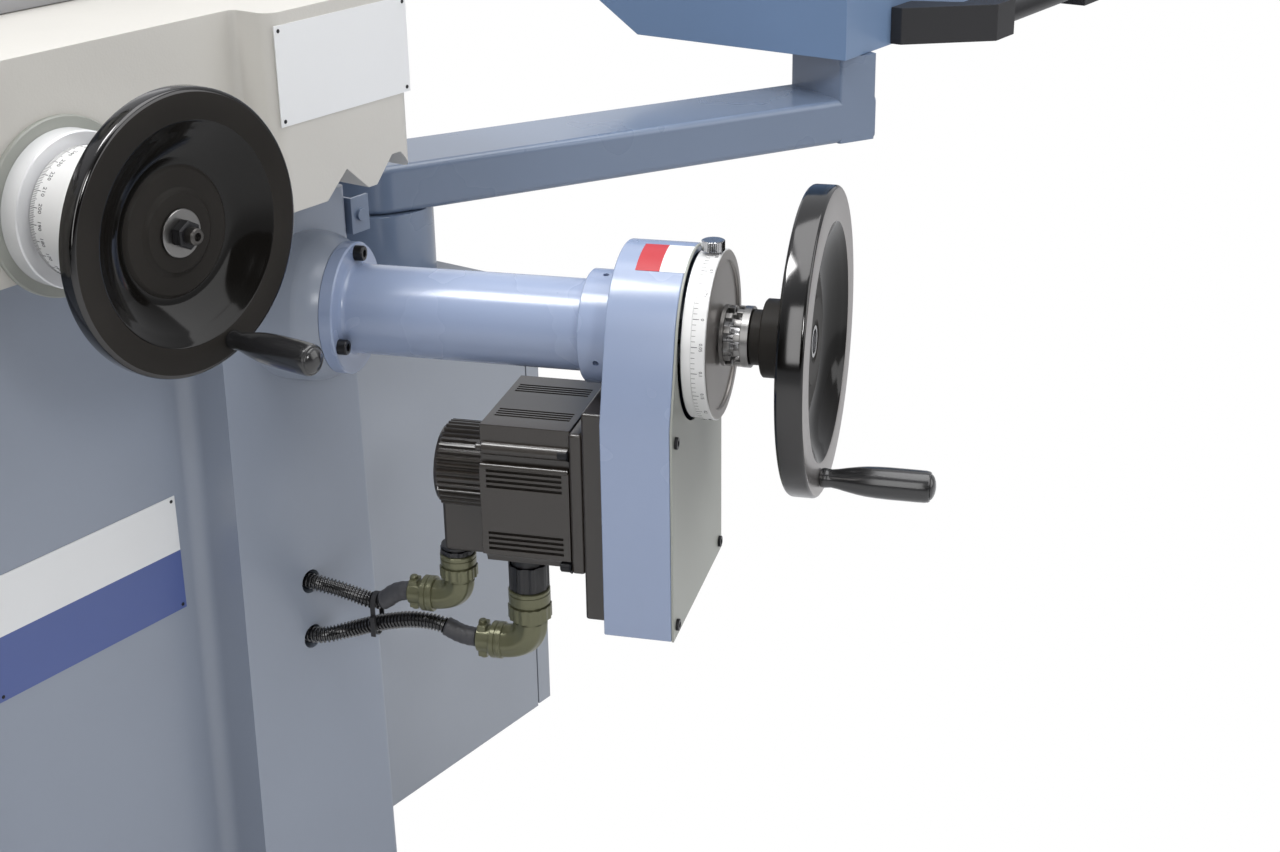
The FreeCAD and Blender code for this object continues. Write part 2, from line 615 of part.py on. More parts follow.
# Column with box ways and a slot for the elevating nut
def make_column():
    half, front, back = S.column_half, S.column_front, S.column_front + S.column_depth
    bend = S.column_round
    neck = S.rail_half - S.rail_lip
    way = front - S.rail_depth
    step = front - S.rail_depth / 2
    outline = [
        (-half, back - bend), (-half, front), (-neck, front), (-neck, step), (-S.rail_half, step),
        (-S.rail_half, way), (S.rail_half, way), (S.rail_half, step), (neck, step), (neck, front),
        (half, front), (half, back - bend), (half - bend, back, bend), (-half + bend, back),
    ]
    outline[0] = (-half, back - bend, bend)
    low = S.base_height + S.seat_rise
    high = S.base_height + S.column_height
    body = new_body("column_casting")
    pad(body, "XY_Plane", [outline], high - low, low)
    wall = S.column_wall
    room = rounded_rectangle(-half + wall, front + wall, half - wall, back - wall, bend - wall / 2)
    pocket(body, "XY_Plane", [room], high - S.column_cap - low, low)
    slot = box("nut_slot", (-S.column_slot, way - S.over, S.slot_low),
               (S.column_slot, front + wall + S.over, high - S.slot_top_gap))
    return keep(cut("column_slotted", body, [slot]), "column")


# Saddle
def make_saddle():
    half, edge, front = S.saddle_half, S.saddle_step_edge, -S.saddle_front
    bend, small, inner = S.saddle_round, S.saddle_fillet, SADDLE_FACE
    back = front + S.saddle_length
    plan = [
        (-half, back), (-half, front + bend), (-half + bend, front, bend), (-edge - bend, front),
        (-edge, front + bend, bend), (-edge, inner - small), (-edge + small, inner, -small),
        (edge - small, inner), (edge, inner - small, -small), (edge, front + bend),
        (edge + bend, front, bend), (half - bend, front), (half, front + bend, bend), (half, back),
    ]
    block = prism("saddle_plan", plan, SADDLE_BOTTOM - S.over, SADDLE_TOP)
    right = way_points(ONE, ZERO) + [(half + S.over, way_flank(half + S.over, ZERO))]
    left = [(-half - S.over, way_flank(half + S.over, ZERO))] + list(reversed(way_points(-ONE, ZERO)))
    outline = left + right + [(half + S.over, SADDLE_TOP), (-half - S.over, SADDLE_TOP)]
    side = prism("saddle_side", outline, S.saddle_front - S.saddle_length - S.over, S.saddle_front + S.over,
                 "XZ_Plane")
    shape = doc.addObject("Part::MultiCommon", "saddle_blank")
    shape.Shapes = [block, side]
    ways = []
    for name, place in (("front_table_way", -S.table_centre - S.table_way_spread),
                        ("rear_table_way", -S.table_centre + S.table_way_spread)):
        profile = [(place - S.table_way_half, SADDLE_TOP - S.weld),
                   (place + S.table_way_half, SADDLE_TOP - S.weld),
                   (place + S.table_way_flat, SADDLE_TOP + S.table_way_rise),
                   (place - S.table_way_flat, SADDLE_TOP + S.table_way_rise)]
        ways.append(prism(name, profile, -half, half, "YZ_Plane"))
    raised = fuse("saddle_raised", [shape] + ways)
    room = box("screw_room", (-S.room_half, SADDLE_FACE + S.room_front_wall, SADDLE_BOTTOM - S.over),
               (S.room_half, back + S.over, CROSS_HEIGHT + S.room_half))
    holes = [room, rod("screw_hole", (ZERO, SADDLE_FACE - S.over, CROSS_HEIGHT),
                       (ZERO, SADDLE_FACE + S.room_front_wall + S.over, CROSS_HEIGHT),
                       S.cross_screw_radius + S.running, "Y")]
    pinion = rod("pinion_hole", (-S.table_wheel_side, front - S.over, TABLE_WHEEL_HEIGHT),
                 (-S.table_wheel_side, front + S.pinion_depth, TABLE_WHEEL_HEIGHT),
                 S.pinion_shaft + S.running, "Y")
    holes.append(pinion)
    rack_room = box("rack_room", (-half - S.over, front + S.pinion_depth - S.rack_room_depth,
                                  TABLE_WHEEL_HEIGHT - S.rack_room_low),
                    (half + S.over, front + S.pinion_depth + S.over, SADDLE_TOP + S.over))
    holes.append(rack_room)
    return keep(cut("saddle_finished", raised, holes), "saddle")


# Handwheels, grips and dials
def wheel_profile(face, bore, rim, thick, band, disc, disc_sink, boss, boss_sink, web, hub, hub_back,
                  sleeve=None):
    """Handwheel section: flat rim band, dished web, hub disc and inner ring, with the hub behind."""
    bend = S.edge_round
    inner_rim = rim - band
    lip = band / 6
    points = [
        (face - boss_sink, bore), (face - boss_sink, boss), (face - disc_sink, boss), (face - disc_sink, disc),
        (face - lip, inner_rim - lip), (face, inner_rim), (face, rim - bend), (face - bend, rim, bend),
        (face - thick + bend, rim), (face - thick, rim - bend, bend), (face - thick, inner_rim + lip),
        (face - lip - web, inner_rim - lip), (face - disc_sink - web, disc), (face - disc_sink - web, hub),
        (face - hub_back, hub),
    ]
    if sleeve:
        points += [(face - hub_back, sleeve[0]), (face - sleeve[1], sleeve[0]), (face - sleeve[1], bore)]
    else:
        points += [(face - hub_back, bore)]
    return points


def grip_profile(start, length, radius, bore):
    """Turned grip that narrows to a neck by the rim and swells towards its free end."""
    rows = [(start, bore)]
    for along, share in GRIP_SHARES:
        rows.append((start + length * along, radius * share))
    rows.append((start + length, radius * GRIP_SHARES[-1][1]))
    rows.append((start + length, bore))
    return rows


def grip_set(prefix, frame, reach, orbit, angle, length, radius, rim_thick):
    """Revolving grip and the pin it turns on."""
    side = orbit * cosine(angle)
    rise = orbit * sine(angle)
    start = reach + S.grip_gap
    grip = turned(prefix + "_grip_body", grip_profile(start, length, radius, S.pin_radius + S.running),
                  frame, side, rise)
    end = start + length
    head = S.pin_head
    pin = turned(prefix + "_pin_body", [
        (reach - rim_thick + S.pin_set, ZERO), (end + S.pin_head_gap + S.pin_radius, ZERO),
        (end + S.pin_head_gap + S.pin_radius, head), (end + S.pin_head_gap, head),
        (end + S.pin_head_gap, S.pin_radius), (reach - rim_thick + S.pin_set, S.pin_radius),
    ], frame, side, rise)
    keep(grip, prefix + "_grip")
    keep(pin, prefix + "_grip_pin")
    return side, rise


def drill_rim(name, wheel, frame, side, rise, reach, thick):
    """Through hole in a rim for the grip's pin."""
    hole = bushing_rod(name + "_pin_hole", frame, side, rise, reach - thick - S.over, reach + S.over,
                       S.pin_radius)
    return cut(name + "_drilled", wheel, [hole])


def bushing_rod(name, frame, side, rise, start, end, radius):
    """Plain bar on a frame's outward axis."""
    return turned(name, [(start, ZERO), (end, ZERO), (end, radius), (start, radius)], frame, side, rise)


def make_small_wheel(prefix, frame, reach, hub_back, angle):
    """Handwheel of the cross feed or of the table, with its grip."""
    side = S.cross_grip_orbit * cosine(angle)
    rise = S.cross_grip_orbit * sine(angle)
    wheel = turned(prefix + "_wheel_body", wheel_profile(
        reach, S.screw_neck, S.cross_wheel, S.cross_rim, S.cross_rim_band, S.cross_hub_disc,
        S.cross_hub_sink, S.cross_boss, S.cross_boss_sink, S.cross_web, S.cross_hub, hub_back), frame)
    drilled = drill_rim(prefix, wheel, frame, side, rise, reach, S.cross_rim)
    keep(drilled, prefix + "_handwheel")
    grip_set(prefix, frame, reach, S.cross_grip_orbit, angle, S.cross_grip_length, S.cross_grip_radius,
             S.cross_rim)


def hub_nut(name, frame, reach):
    """Washer, hexagon nut and the socket-headed stud end in one piece."""
    seat = reach - S.cross_boss_sink
    body = new_body(name + "_body")
    pad(body, "XZ_Plane", [["circle", ZERO, ZERO, S.washer_radius]], S.washer_thick, seat)
    corners = []
    for index in range(6):
        turn = math.radians(index * 60)
        corners.append((S.nut_radius * math.cos(turn), S.nut_radius * math.sin(turn)))
    pad(body, "XZ_Plane", [corners], S.nut_thick, seat + S.washer_thick)
    pad(body, "XZ_Plane", [["circle", ZERO, ZERO, S.stud_radius]], S.stud_out,
        seat + S.washer_thick + S.nut_thick)
    pocket(body, "XZ_Plane", [["circle", ZERO, ZERO, S.socket_radius]], S.stud_out,
           seat + S.washer_thick + S.nut_thick + S.over)
    frame.seat(body)
    return keep(body, name)


# Down-feed arm on its boss
def hex_screw(name, frame, x, z, seat, head, rise, shank, length):
    """Socket-headed cap screw whose head stands on a seat."""
    body = new_body(name)
    pad(body, "XZ_Plane", [["circle", ZERO, ZERO, shank]], length, seat - length)
    pad(body, "XZ_Plane", [["circle", ZERO, ZERO, head]], rise, seat)
    corners = []
    for index in range(6):
        turn = math.radians(index * 60)
        corners.append((head * (math.cos(turn) * SOCKET_SHARE), head * (math.sin(turn) * SOCKET_SHARE)))
    pocket(body, "XZ_Plane", [corners], rise * SOCKET_DEPTH_SHARE, seat + rise * (1 - SOCKET_DEPTH_SHARE))
    frame.seat(body, x, ZERO, z)
    return body


def on_circle(radius, angle):
    turn = math.radians(angle)
    return radius * math.cos(turn), radius * math.sin(turn)


def make_feed_tube():
    seat = S.boss_seat
    front = seat + S.flange_thick
    profile = [
        (seat, S.tube_bore), (seat, S.flange_radius), (front, S.flange_radius),
        (front, S.tube_radius + S.tube_fillet), (front + S.tube_fillet, S.tube_radius, -S.tube_fillet),
        (S.tube_length, S.tube_radius), (S.tube_length, S.tube_bore),
    ]
    profile = list(reversed([(item[0], item[1]) for item in profile]))
    body = new_body("feed_tube_body")
    turn_profile(body, profile)
    for angle in FLANGE_BOLT_ANGLES:
        x, z = on_circle(S.flange_bolt_circle, angle)
        pocket(body, "XZ_Plane", [["circle", x, z, S.flange_screw + S.screw_gap]],
               S.flange_thick + S.tube_fillet, seat)
    FEED.seat(body)
    keep(body, "feed_tube")
    screws = []
    for index, angle in enumerate(FLANGE_BOLT_ANGLES):
        x, z = on_circle(S.flange_bolt_circle, angle)
        screws.append(hex_screw("flange_screw_%d" % (index + 1), FEED, x, z, front, S.flange_screw_head,
                                S.flange_screw_rise, S.flange_screw, S.flange_thick))
    SCREWS.extend(screws)
    bearings = []
    for index, start in enumerate((seat + S.bearing_inset, S.tube_length - S.bearing_inset - S.bearing_width)):
        bearings.append(bushing("bearing_%d" % (index + 1), start, start + S.bearing_width,
                                S.shaft_radius + S.running, S.tube_bore, FEED))
    keep(group("bearing_group", bearings), "feed_bearings")


def make_collar():
    collar = bushing("collar_body", S.collar_start, S.housing_start, S.tube_radius + S.fit,
                     S.collar_radius, FEED)
    middle = (S.collar_start + S.housing_start) / 2
    tools = []
    for index, angle in enumerate(COLLAR_HOLE_ANGLES):
        drill = doc.addObject("Part::Cylinder", "collar_drill_%d" % (index + 1))
        bind(drill, "Radius", S.collar_hole)
        bind(drill, "Height", S.collar_radius + S.over)
        spot = FEED.point(ZERO, -middle, ZERO)
        tilt = FreeCAD.Rotation(FreeCAD.Vector(0, 0, 1), S.feed_angle.value)
        tilt = tilt.multiply(FreeCAD.Rotation(FreeCAD.Vector(0, 1, 0), 90 - angle))
        drill.Placement = FreeCAD.Placement(vector(spot), tilt)
        bind_spot(drill, "Placement.Base", spot)
        tools.append(drill)
    keep(cut("collar_drilled", collar, tools), "tube_collar")


def housing_outline(inset):
    """Round top on the shaft's axis, straight shoulders and a flat foot."""
    radius = S.housing_round - inset
    half = S.housing_half - inset
    side = radius * cosine(S.housing_slope)
    rise = radius * sine(S.housing_slope)
    bend = rise - (half - side) * cosine(S.housing_slope) / sine(S.housing_slope)
    drop = -S.housing_drop + inset
    return [
        (side, rise), (-side, rise, radius), (-half, bend), (-half, drop), (half, drop), (half, bend),
    ]


def cover_spots():
    """Places of the cover's screws on the housing."""
    edge = S.housing_half - S.cover_screw_edge
    low = -S.housing_drop + S.cover_screw_edge
    return [(side * edge, rise) for side in (-ONE, ONE) for rise in (-S.cover_screw_high, low)]


def make_housing():
    start = S.housing_start
    front = start + S.housing_depth
    body = new_body("gear_housing_body")
    pad(body, "XZ_Plane", [housing_outline(ZERO)], S.housing_depth, start)
    pocket(body, "XZ_Plane", [housing_outline(S.housing_wall)], S.housing_depth, start + S.housing_wall)
    for x, z in cover_spots():
        pad(body, "XZ_Plane", [["circle", x, z, S.cover_screw_edge]], S.housing_depth - S.housing_wall / 2,
            start + S.housing_wall / 2)
    for x, z in cover_spots():
        pocket(body, "XZ_Plane", [["circle", x, z, S.cover_screw + S.screw_gap]], S.cover_screw_length,
               front - S.cover_screw_length)
    pocket(body, "XZ_Plane", [["circle", ZERO, ZERO, S.shaft_radius + S.housing_clear]],
           S.housing_wall + S.over, start - S.over / 2)
    pocket(body, "XZ_Plane", [["circle", ZERO, -S.belt_centres, S.motor_shaft + S.housing_clear]],
           S.housing_wall + S.over, start - S.over / 2)
    FEED.seat(body)
    cleared = doc.addObject("Part::MultiCommon", "gear_housing_trimmed")
    hull = prism("gear_housing_hull", housing_outline(ZERO), start, front, "XZ_Plane", FEED)
    cleared.Shapes = [body, hull]
    keep(cleared, "gear_housing")

    cover = new_body("housing_cover_body")
    pad(cover, "XZ_Plane", [housing_outline(ZERO), ["circle", ZERO, ZERO, S.cover_hole]], S.cover_thick, front)
    for x, z in cover_spots():
        pocket(cover, "XZ_Plane", [["circle", x, z, S.cover_screw + S.screw_gap]],
               S.cover_thick + S.over, front)
    FEED.seat(cover)
    keep(cover, "housing_cover")
    screws = []
    for index, (x, z) in enumerate(cover_spots()):
        screws.append(hex_screw("cover_screw_%d" % (index + 1), FEED, x, z, front + S.cover_thick,
                                S.cover_screw_head, S.cover_screw_rise, S.cover_screw,
                                S.cover_screw_length))
    SCREWS.extend(screws)
    keep(group("cap_screw_group", SCREWS), "cap_screws")


def make_down_dial():
    back = S.down_dial_start
    front = back + S.down_dial_length
    bore = S.shaft_radius + S.fit
    rim = S.down_dial_radius
    turned_dial = turned("down_dial_body", [
        (front - S.dial_recess, bore), (front - S.dial_recess, rim - S.dial_band), (front, rim - S.dial_band),
        (front, rim - S.down_dial_step), (front - S.dial_chamfer, rim), (front - S.down_dial_scale, rim),
        (front - S.down_dial_scale, rim - S.down_dial_step), (back, rim - S.down_dial_step),
        (back, rim - S.dial_band), (back + S.dial_web, rim - S.dial_band), (back + S.dial_web, bore),
    ], FEED)
    keep(turned_dial, "down_dial")
    rest = rim
    middle = back + S.lock_place
    screw = new_body("dial_lock_screw_body")
    profile = [
        (ZERO, rest), (S.lock_stem, rest), (S.lock_stem, rest + S.lock_rise),
        (S.lock_head, rest + S.lock_rise), (S.lock_head, rest + S.lock_rise + S.lock_height),
        (ZERO, rest + S.lock_rise + S.lock_height),
    ]
    turn_profile(screw, profile, "Z")
    FEED.seat(screw, ZERO, -middle, ZERO)
    keep(screw, "dial_lock_screw")


def make_clutch():
    """Two dog rings with teeth half a pitch apart, so that the sliding one can drop in."""
    first = S.down_dial_start + S.down_dial_length
    half = 180 / CLUTCH_TEETH * TOOTH_SHARE
    near = new_body("dial_clutch_body")
    bore = S.shaft_radius + S.fit
    pad(near, "XZ_Plane", [["circle", ZERO, ZERO, S.clutch_radius], ["circle", ZERO, ZERO, bore]],
        S.clutch_ring, first)
    tooth = pad(near, "XZ_Plane", [wedge(S.clutch_root, S.clutch_radius - S.tooth_inset, 0, half)],
                S.tooth_depth + S.weld / 4, first + S.clutch_ring - S.weld / 4)
    ring_pattern(near, tooth, CLUTCH_TEETH)
    FEED.seat(near)
    keep(near, "dial_clutch_ring")
    start = first + S.clutch_ring + S.tooth_depth + S.clutch_gap
    far = new_body("wheel_clutch_body")
    base = start + S.tooth_depth
    end = S.down_reach - S.down_hub_sleeve_back
    pad(far, "XZ_Plane", [["circle", ZERO, ZERO, S.clutch_radius],
                          ["circle", ZERO, ZERO, S.bush_radius + S.fit]], end - base, base)
    outline = wedge(S.clutch_root, S.clutch_radius - S.tooth_inset, 180 / CLUTCH_TEETH, half)
    tooth = pad(far, "XZ_Plane", [outline], S.tooth_depth + S.weld / 4, start)
    ring_pattern(far, tooth, CLUTCH_TEETH)
    FEED.seat(far)
    keep(far, "wheel_clutch_ring")


def make_feed_shaft():
    front = S.down_reach - S.shaft_end_gap
    shaft = turned("feed_shaft_body", [
        (-S.shaft_inside, ZERO), (front, ZERO), (front, S.shaft_radius - S.dial_chamfer),
        (front - S.dial_chamfer, S.shaft_radius), (-S.shaft_inside, S.shaft_radius),
    ], FEED)
    keep(shaft, "feed_shaft")
    start = S.down_reach - S.down_hub_sleeve_back
    bush = bushing("down_bush_body", start + S.fit, S.down_reach - S.down_boss_sink - S.fit,
                   S.shaft_radius + S.running, S.bush_radius, FEED)
    keep(bush, "down_bush")


def pulley(name, radius, bore, x, z):
    start = S.pulley_start
    end = start + S.pulley_width
    lip = S.pulley_lip
    body = turned(name + "_body", [
        (start, bore), (end, bore), (end, radius + lip), (end - lip, radius + lip), (end - lip, radius),
        (start + lip, radius), (start + lip, radius + lip), (start, radius + lip),
    ], FEED, x, z)
    return body


def belt_loop(gap):
    """Open belt line round both pulleys, a gap away from their rims."""
    big = S.big_pulley + gap
    small = S.small_pulley + gap
    c, s = cosine(S.belt_slope), sine(S.belt_slope)
    low = -S.belt_centres
    return [
        (big * c, -(big * s)), (ZERO, big, big), (-(big * c), -(big * s), big),
        (-(small * c), low - small * s), (ZERO, low - small, small), (small * c, low - small * s, small),
    ]


def make_belt_drive():
    keep(pulley("drive_pulley_rim", S.big_pulley, S.shaft_radius + S.fit, ZERO, ZERO), "drive_pulley")
    nose = S.housing_start - S.adapter_thick - S.motor_nose_depth + S.fit
    shaft = bushing_rod("motor_shaft", FEED, ZERO, -S.belt_centres, nose, S.pulley_start + S.pulley_width,
                        S.motor_shaft)
    rim = pulley("motor_pulley_rim", S.small_pulley, ZERO, ZERO, -S.belt_centres)
    keep(fuse("motor_pulley_joined", [shaft, rim]), "motor_pulley")
    belt = new_body("timing_belt_body")
    start = S.pulley_start + S.pulley_lip + S.fit
    pad(belt, "XZ_Plane", [belt_loop(S.belt_gap + S.belt_thick), belt_loop(S.belt_gap)],
        S.pulley_width - S.pulley_lip * 2 - S.fit * 2, start)
    FEED.seat(belt)
    keep(belt, "timing_belt")


def make_servo():
    """Adapter plate, square servo motor with slotted sides, its shaft and the ribbed encoder cover."""
    low, high = -S.adapter_drop, -S.adapter_top
    start = S.housing_start - S.adapter_thick
    plate = new_body("motor_adapter_body")
    outline = rounded_rectangle(-S.adapter_half, low, S.adapter_half, high, S.edge_round)
    pad(plate, "XZ_Plane", [outline, ["circle", ZERO, -S.belt_centres, S.motor_shaft + S.housing_clear]],
        S.adapter_thick, start)
    FEED.seat(plate)
    keep(plate, "motor_adapter")

    half, groove = S.motor_half, S.motor_groove
    back = start - S.motor_length
    body = new_body("servo_motor_body")
    left, right = -half, half
    bottom, top = -S.belt_centres - half, -S.belt_centres + half
    pad(body, "XZ_Plane", [rounded_rectangle(left, bottom, right, top, S.edge_round)], S.motor_flange,
        start - S.motor_flange)
    grooved = [
        (left + groove, bottom), (right - groove, bottom), (right - groove, bottom + groove),
        (right, bottom + groove), (right, top - groove), (right - groove, top - groove),
        (right - groove, top), (left + groove, top), (left + groove, top - groove), (left, top - groove),
        (left, bottom + groove), (left + groove, bottom + groove),
    ]
    pad(body, "XZ_Plane", [grooved], S.motor_length - S.motor_flange, back)
    bore = ["circle", ZERO, -S.belt_centres, S.motor_shaft + S.fit]
    pocket(body, "XZ_Plane", [bore], S.motor_nose_depth, start - S.motor_nose_depth)
    FEED.seat(body)
    slots = []
    for side in (-ONE, ONE):
        for index in range(SLOT_COUNT):
            middle = side * (S.slot_group + S.slot_pitch * (index - (SLOT_COUNT - 1) / 2))
            near, far = middle - S.slot_wide / 2, middle + S.slot_wide / 2
            outline = [rectangle(face * half - S.slot_depth, near - S.belt_centres,
                                 face * half + S.slot_depth, far - S.belt_centres) for face in (-ONE, ONE)]
            outline.append(rectangle(near, top - S.slot_depth, far, top + S.slot_depth))
            slots.append(prism("motor_slot_%d" % (len(slots) + 1), outline, back + S.slot_end,
                               start - S.motor_flange - S.slot_end, "XZ_Plane", FEED))
    keep(cut("servo_motor_slotted", body, slots), "servo_motor")

    end = back - S.encoder_length
    drum = new_body("encoder_drum")
    pad(drum, "XZ_Plane", [["circle", ZERO, ZERO, S.encoder_radius]], S.encoder_length, end)
    groove_low = S.encoder_radius - S.encoder_groove_depth
    groove_cut = pocket(drum, "XZ_Plane", [rectangle(-S.encoder_groove / 2, groove_low, S.encoder_groove / 2,
                                                     S.encoder_radius + S.over)], S.encoder_length, end)
    ring_pattern(drum, groove_cut, ENCODER_RIDGES)
    FEED.seat(drum, ZERO, ZERO, -S.belt_centres)
    block = prism("encoder_block", rounded_rectangle(-S.encoder_block, -S.belt_centres - S.encoder_block_drop,
                                                     S.encoder_block, -S.belt_centres, S.edge_round),
                  end + S.edge_round, back, "XZ_Plane", FEED)
    keep(fuse("encoder_joined", [drum, block]), "encoder_cover")


def plug(name, out, top, radius, socket, nut, fall, ring):
    """Angled circular connector: socket, coupling nut, elbow and cable clamp towards the machine."""
    side = -S.plug_side
    floor = top - fall
    neck = radius * NECK_SHARE
    spot = FEED.point(side, -out, top)
    upright = new_body(name + "_upright")
    turn_profile(upright, [
        (ZERO, -fall), (neck, -fall), (neck, -socket - nut), (radius, -socket - nut),
        (radius, -socket - S.fit),
        (neck, -socket - S.fit), (neck, -socket + S.fit), (radius * SOCKET_BODY_SHARE, -socket + S.fit),
        (radius * SOCKET_BODY_SHARE, ZERO), (ZERO, ZERO),
    ], "Z")
    FEED.seat(upright, side, -out, top)
    knee = doc.addObject("Part::Sphere", name + "_knee")
    bind(knee, "Radius", neck)
    low = FEED.point(side, -out, floor)
    knee.Placement.Base = vector(low)
    bind_spot(knee, "Placement.Base", low)
    inner = out - neck - S.plug_reach
    arm = turned(name + "_arm", [
        (out, ZERO), (out, neck), (inner + S.elbow_ring, neck), (inner + S.elbow_ring, ring),
        (inner, ring), (inner, neck), (inner - S.clamp_length, neck * CLAMP_SHARE),
        (inner - S.clamp_length, ZERO),
    ][::-1], FEED, side, floor)
    return keep(fuse(name + "_joined", [upright, knee, arm]), name)


def make_plugs():
    plug("encoder_connector", S.encoder_plug_out, -S.encoder_plug_drop, S.plug_radius - S.plug_step,
         S.encoder_socket, S.encoder_nut, S.encoder_plug_fall, S.plug_clamp)
    plug("power_connector", S.power_plug_out, -S.power_plug_drop, S.plug_radius, S.power_socket, S.power_nut,
         S.power_plug_fall, S.plug_clamp + S.plug_step)


# Ribbed conduits, their sleeves and the tie; routes are on the feed frame
ENCODER_ROUTE = [
    (-11.8, 28, -254.8), (-19.6, 7.4, -254.8), (-10, -20, -265.5), (-10, -54, -275.7), (-10, -71, -259),
    (-10, -82.3, -259),
]
POWER_ROUTE = [
    (-15, 29.3, -308.9), (-24.2, 5, -308.9), (-10, -20, -306), (-10, -52, -294), (-10, -84, -286.5),
    (-10, -112, -288), (-10, -131, -298), (-10, -143.2, -298),
]


class Route:
    """Straight runs joined by tangent arcs."""

    def __init__(self, points):
        spots = [FreeCAD.Vector(*point) for point in points]
        self.pieces = []
        start = spots[0]
        for index in range(1, len(spots) - 1):
            before = spots[index] - spots[index - 1]
            after = spots[index + 1] - spots[index]
            reach = min(before.Length, after.Length) * BEND_SHARE
            turn = before.getAngle(after)
            ahead, away = FreeCAD.Vector(before).normalize(), FreeCAD.Vector(after).normalize()
            enter = spots[index] - ahead * reach
            leave = spots[index] + away * reach
            self.add_line(start, enter)
            radius = reach / math.tan(turn / 2)
            inward = (away - ahead * ahead.dot(away)).normalize()
            self.pieces.append(("arc", radius * turn, enter, ahead, inward, radius))
            start = leave
        self.add_line(start, spots[-1])
        self.length = sum(piece[1] for piece in self.pieces)
        self.least_radius = min(piece[5] for piece in self.pieces if piece[0] == "arc")

    def add_line(self, start, end):
        step = end - start
        self.pieces.append(("line", step.Length, start, FreeCAD.Vector(step).normalize()))

    def at(self, along):
        """Place and direction at a distance along the route."""
        for piece in self.pieces:
            if along <= piece[1] or piece is self.pieces[-1]:
                break
            along -= piece[1]
        if piece[0] == "line":
            return piece[2] + piece[3] * along, piece[3]
        _, _, enter, ahead, inward, radius = piece
        turn = along / radius
        spot = enter + ahead * (radius * math.sin(turn)) + inward * (radius * (1 - math.cos(turn)))
        return spot, ahead * math.cos(turn) + inward * math.sin(turn)

    def ring(self, along, radius):
        """Circle across the route on a steady X axis."""
        spot, ahead = self.at(along)
        steady = FreeCAD.Vector(1, 0, 0)
        side = (steady - ahead * ahead.dot(steady)).normalize()
        turn = FreeCAD.Rotation(side, ahead.cross(side), ahead, "ZXY")
        wire = Part.Wire([Part.makeCircle(radius)])
        wire.Placement = FreeCAD.Placement(spot, turn)
        return wire


def tube_solid(outer, inner):
    """Closed tube: a ruled loft through the outer circles, bored by one through the inner circles."""
    return Part.makeLoft(outer, True, True).cut(Part.makeLoft(inner, True, True))


def shape_piece(name, shape, frame):
    piece = doc.addObject("Part::Feature", name)
    piece.Shape = shape
    frame.seat(piece)
    return piece


def make_conduit(name, points):
    """Ribbed hose: each rib rises from the root to its crest and falls back."""
    route = Route(points)
    crest, root, bore = S.hose_radius.value, S.hose_root.value, S.hose_bore.value
    ribs = int(route.length / S.rib_pitch.value)
    pitch = route.length / ribs
    outer = []
    inner = []
    for index in range(ribs):
        for share, radius in zip(RIB_SHARES, (root, crest, crest, root)):
            outer.append(route.ring((index + share) * pitch, radius))
        inner.append(route.ring(index * pitch, bore))
    outer.append(route.ring(route.length, root))
    inner.append(route.ring(route.length, bore))
    piece = shape_piece(name + "_solid", tube_solid(outer, inner), FEED)
    print("%s: %d ribs, %.0f mm long, least bend radius %.1f mm" % (name, ribs, route.length,
                                                                 route.least_radius))
    keep(piece, name)
    return route


def make_conduits():
    encoder = make_conduit("encoder_conduit", ENCODER_ROUTE)
    power = make_conduit("power_conduit", POWER_ROUTE)
    sleeves = []
    for name, route in (("encoder_sleeve", encoder), ("power_sleeve", power)):
        first = route.length - S.sleeve_length.value
        last = route.length - S.fit.value
        count = SLEEVE_RINGS
        outer = []
        inner = []
        for index in range(count + 1):
            along = first + (last - first) * index / count
            outer.append(route.ring(along, S.sleeve_radius.value))
            inner.append(route.ring(along, S.sleeve_bore.value))
        sleeves.append(shape_piece(name, tube_solid(outer, inner), FEED))
    keep(group("sleeve_group", sleeves), "conduit_sleeves")


def make_tie():
    """Cable tie: a flat band round both conduits, with its head and cut tail."""
    side = -S.plug_side
    high, low = -S.tie_high, -S.tie_low
    bend = S.tie_bend
    outer = bend + S.tie_thick
    loops = []
    for r in (outer, bend):
        loops.append([(side + r, low, r), (side + r, high), (side, high + r, r), (side - r, high, r),
                      (side - r, low), (side, low - r, r)])
    body = new_body("cable_tie_body")
    start = S.tie_out - S.tie_width / 2
    pad(body, "XZ_Plane", loops, S.tie_width, start)
    left = side - outer - S.tie_head + S.tie_thick / 2
    middle = (high + low) / 2
    pad(body, "XZ_Plane", [rectangle(left, middle - S.tie_head / 2, side - outer + S.tie_thick / 2,
                                     middle + S.tie_head / 2)], S.tie_width, start)
    tail = left + S.tie_head / 2
    pad(body, "XZ_Plane", [rectangle(tail - S.tie_thick / 2, middle - S.tie_tail, tail + S.tie_thick / 2,
                                     middle)], S.tie_width, start)
    FEED.seat(body)
    keep(body, "cable_tie")


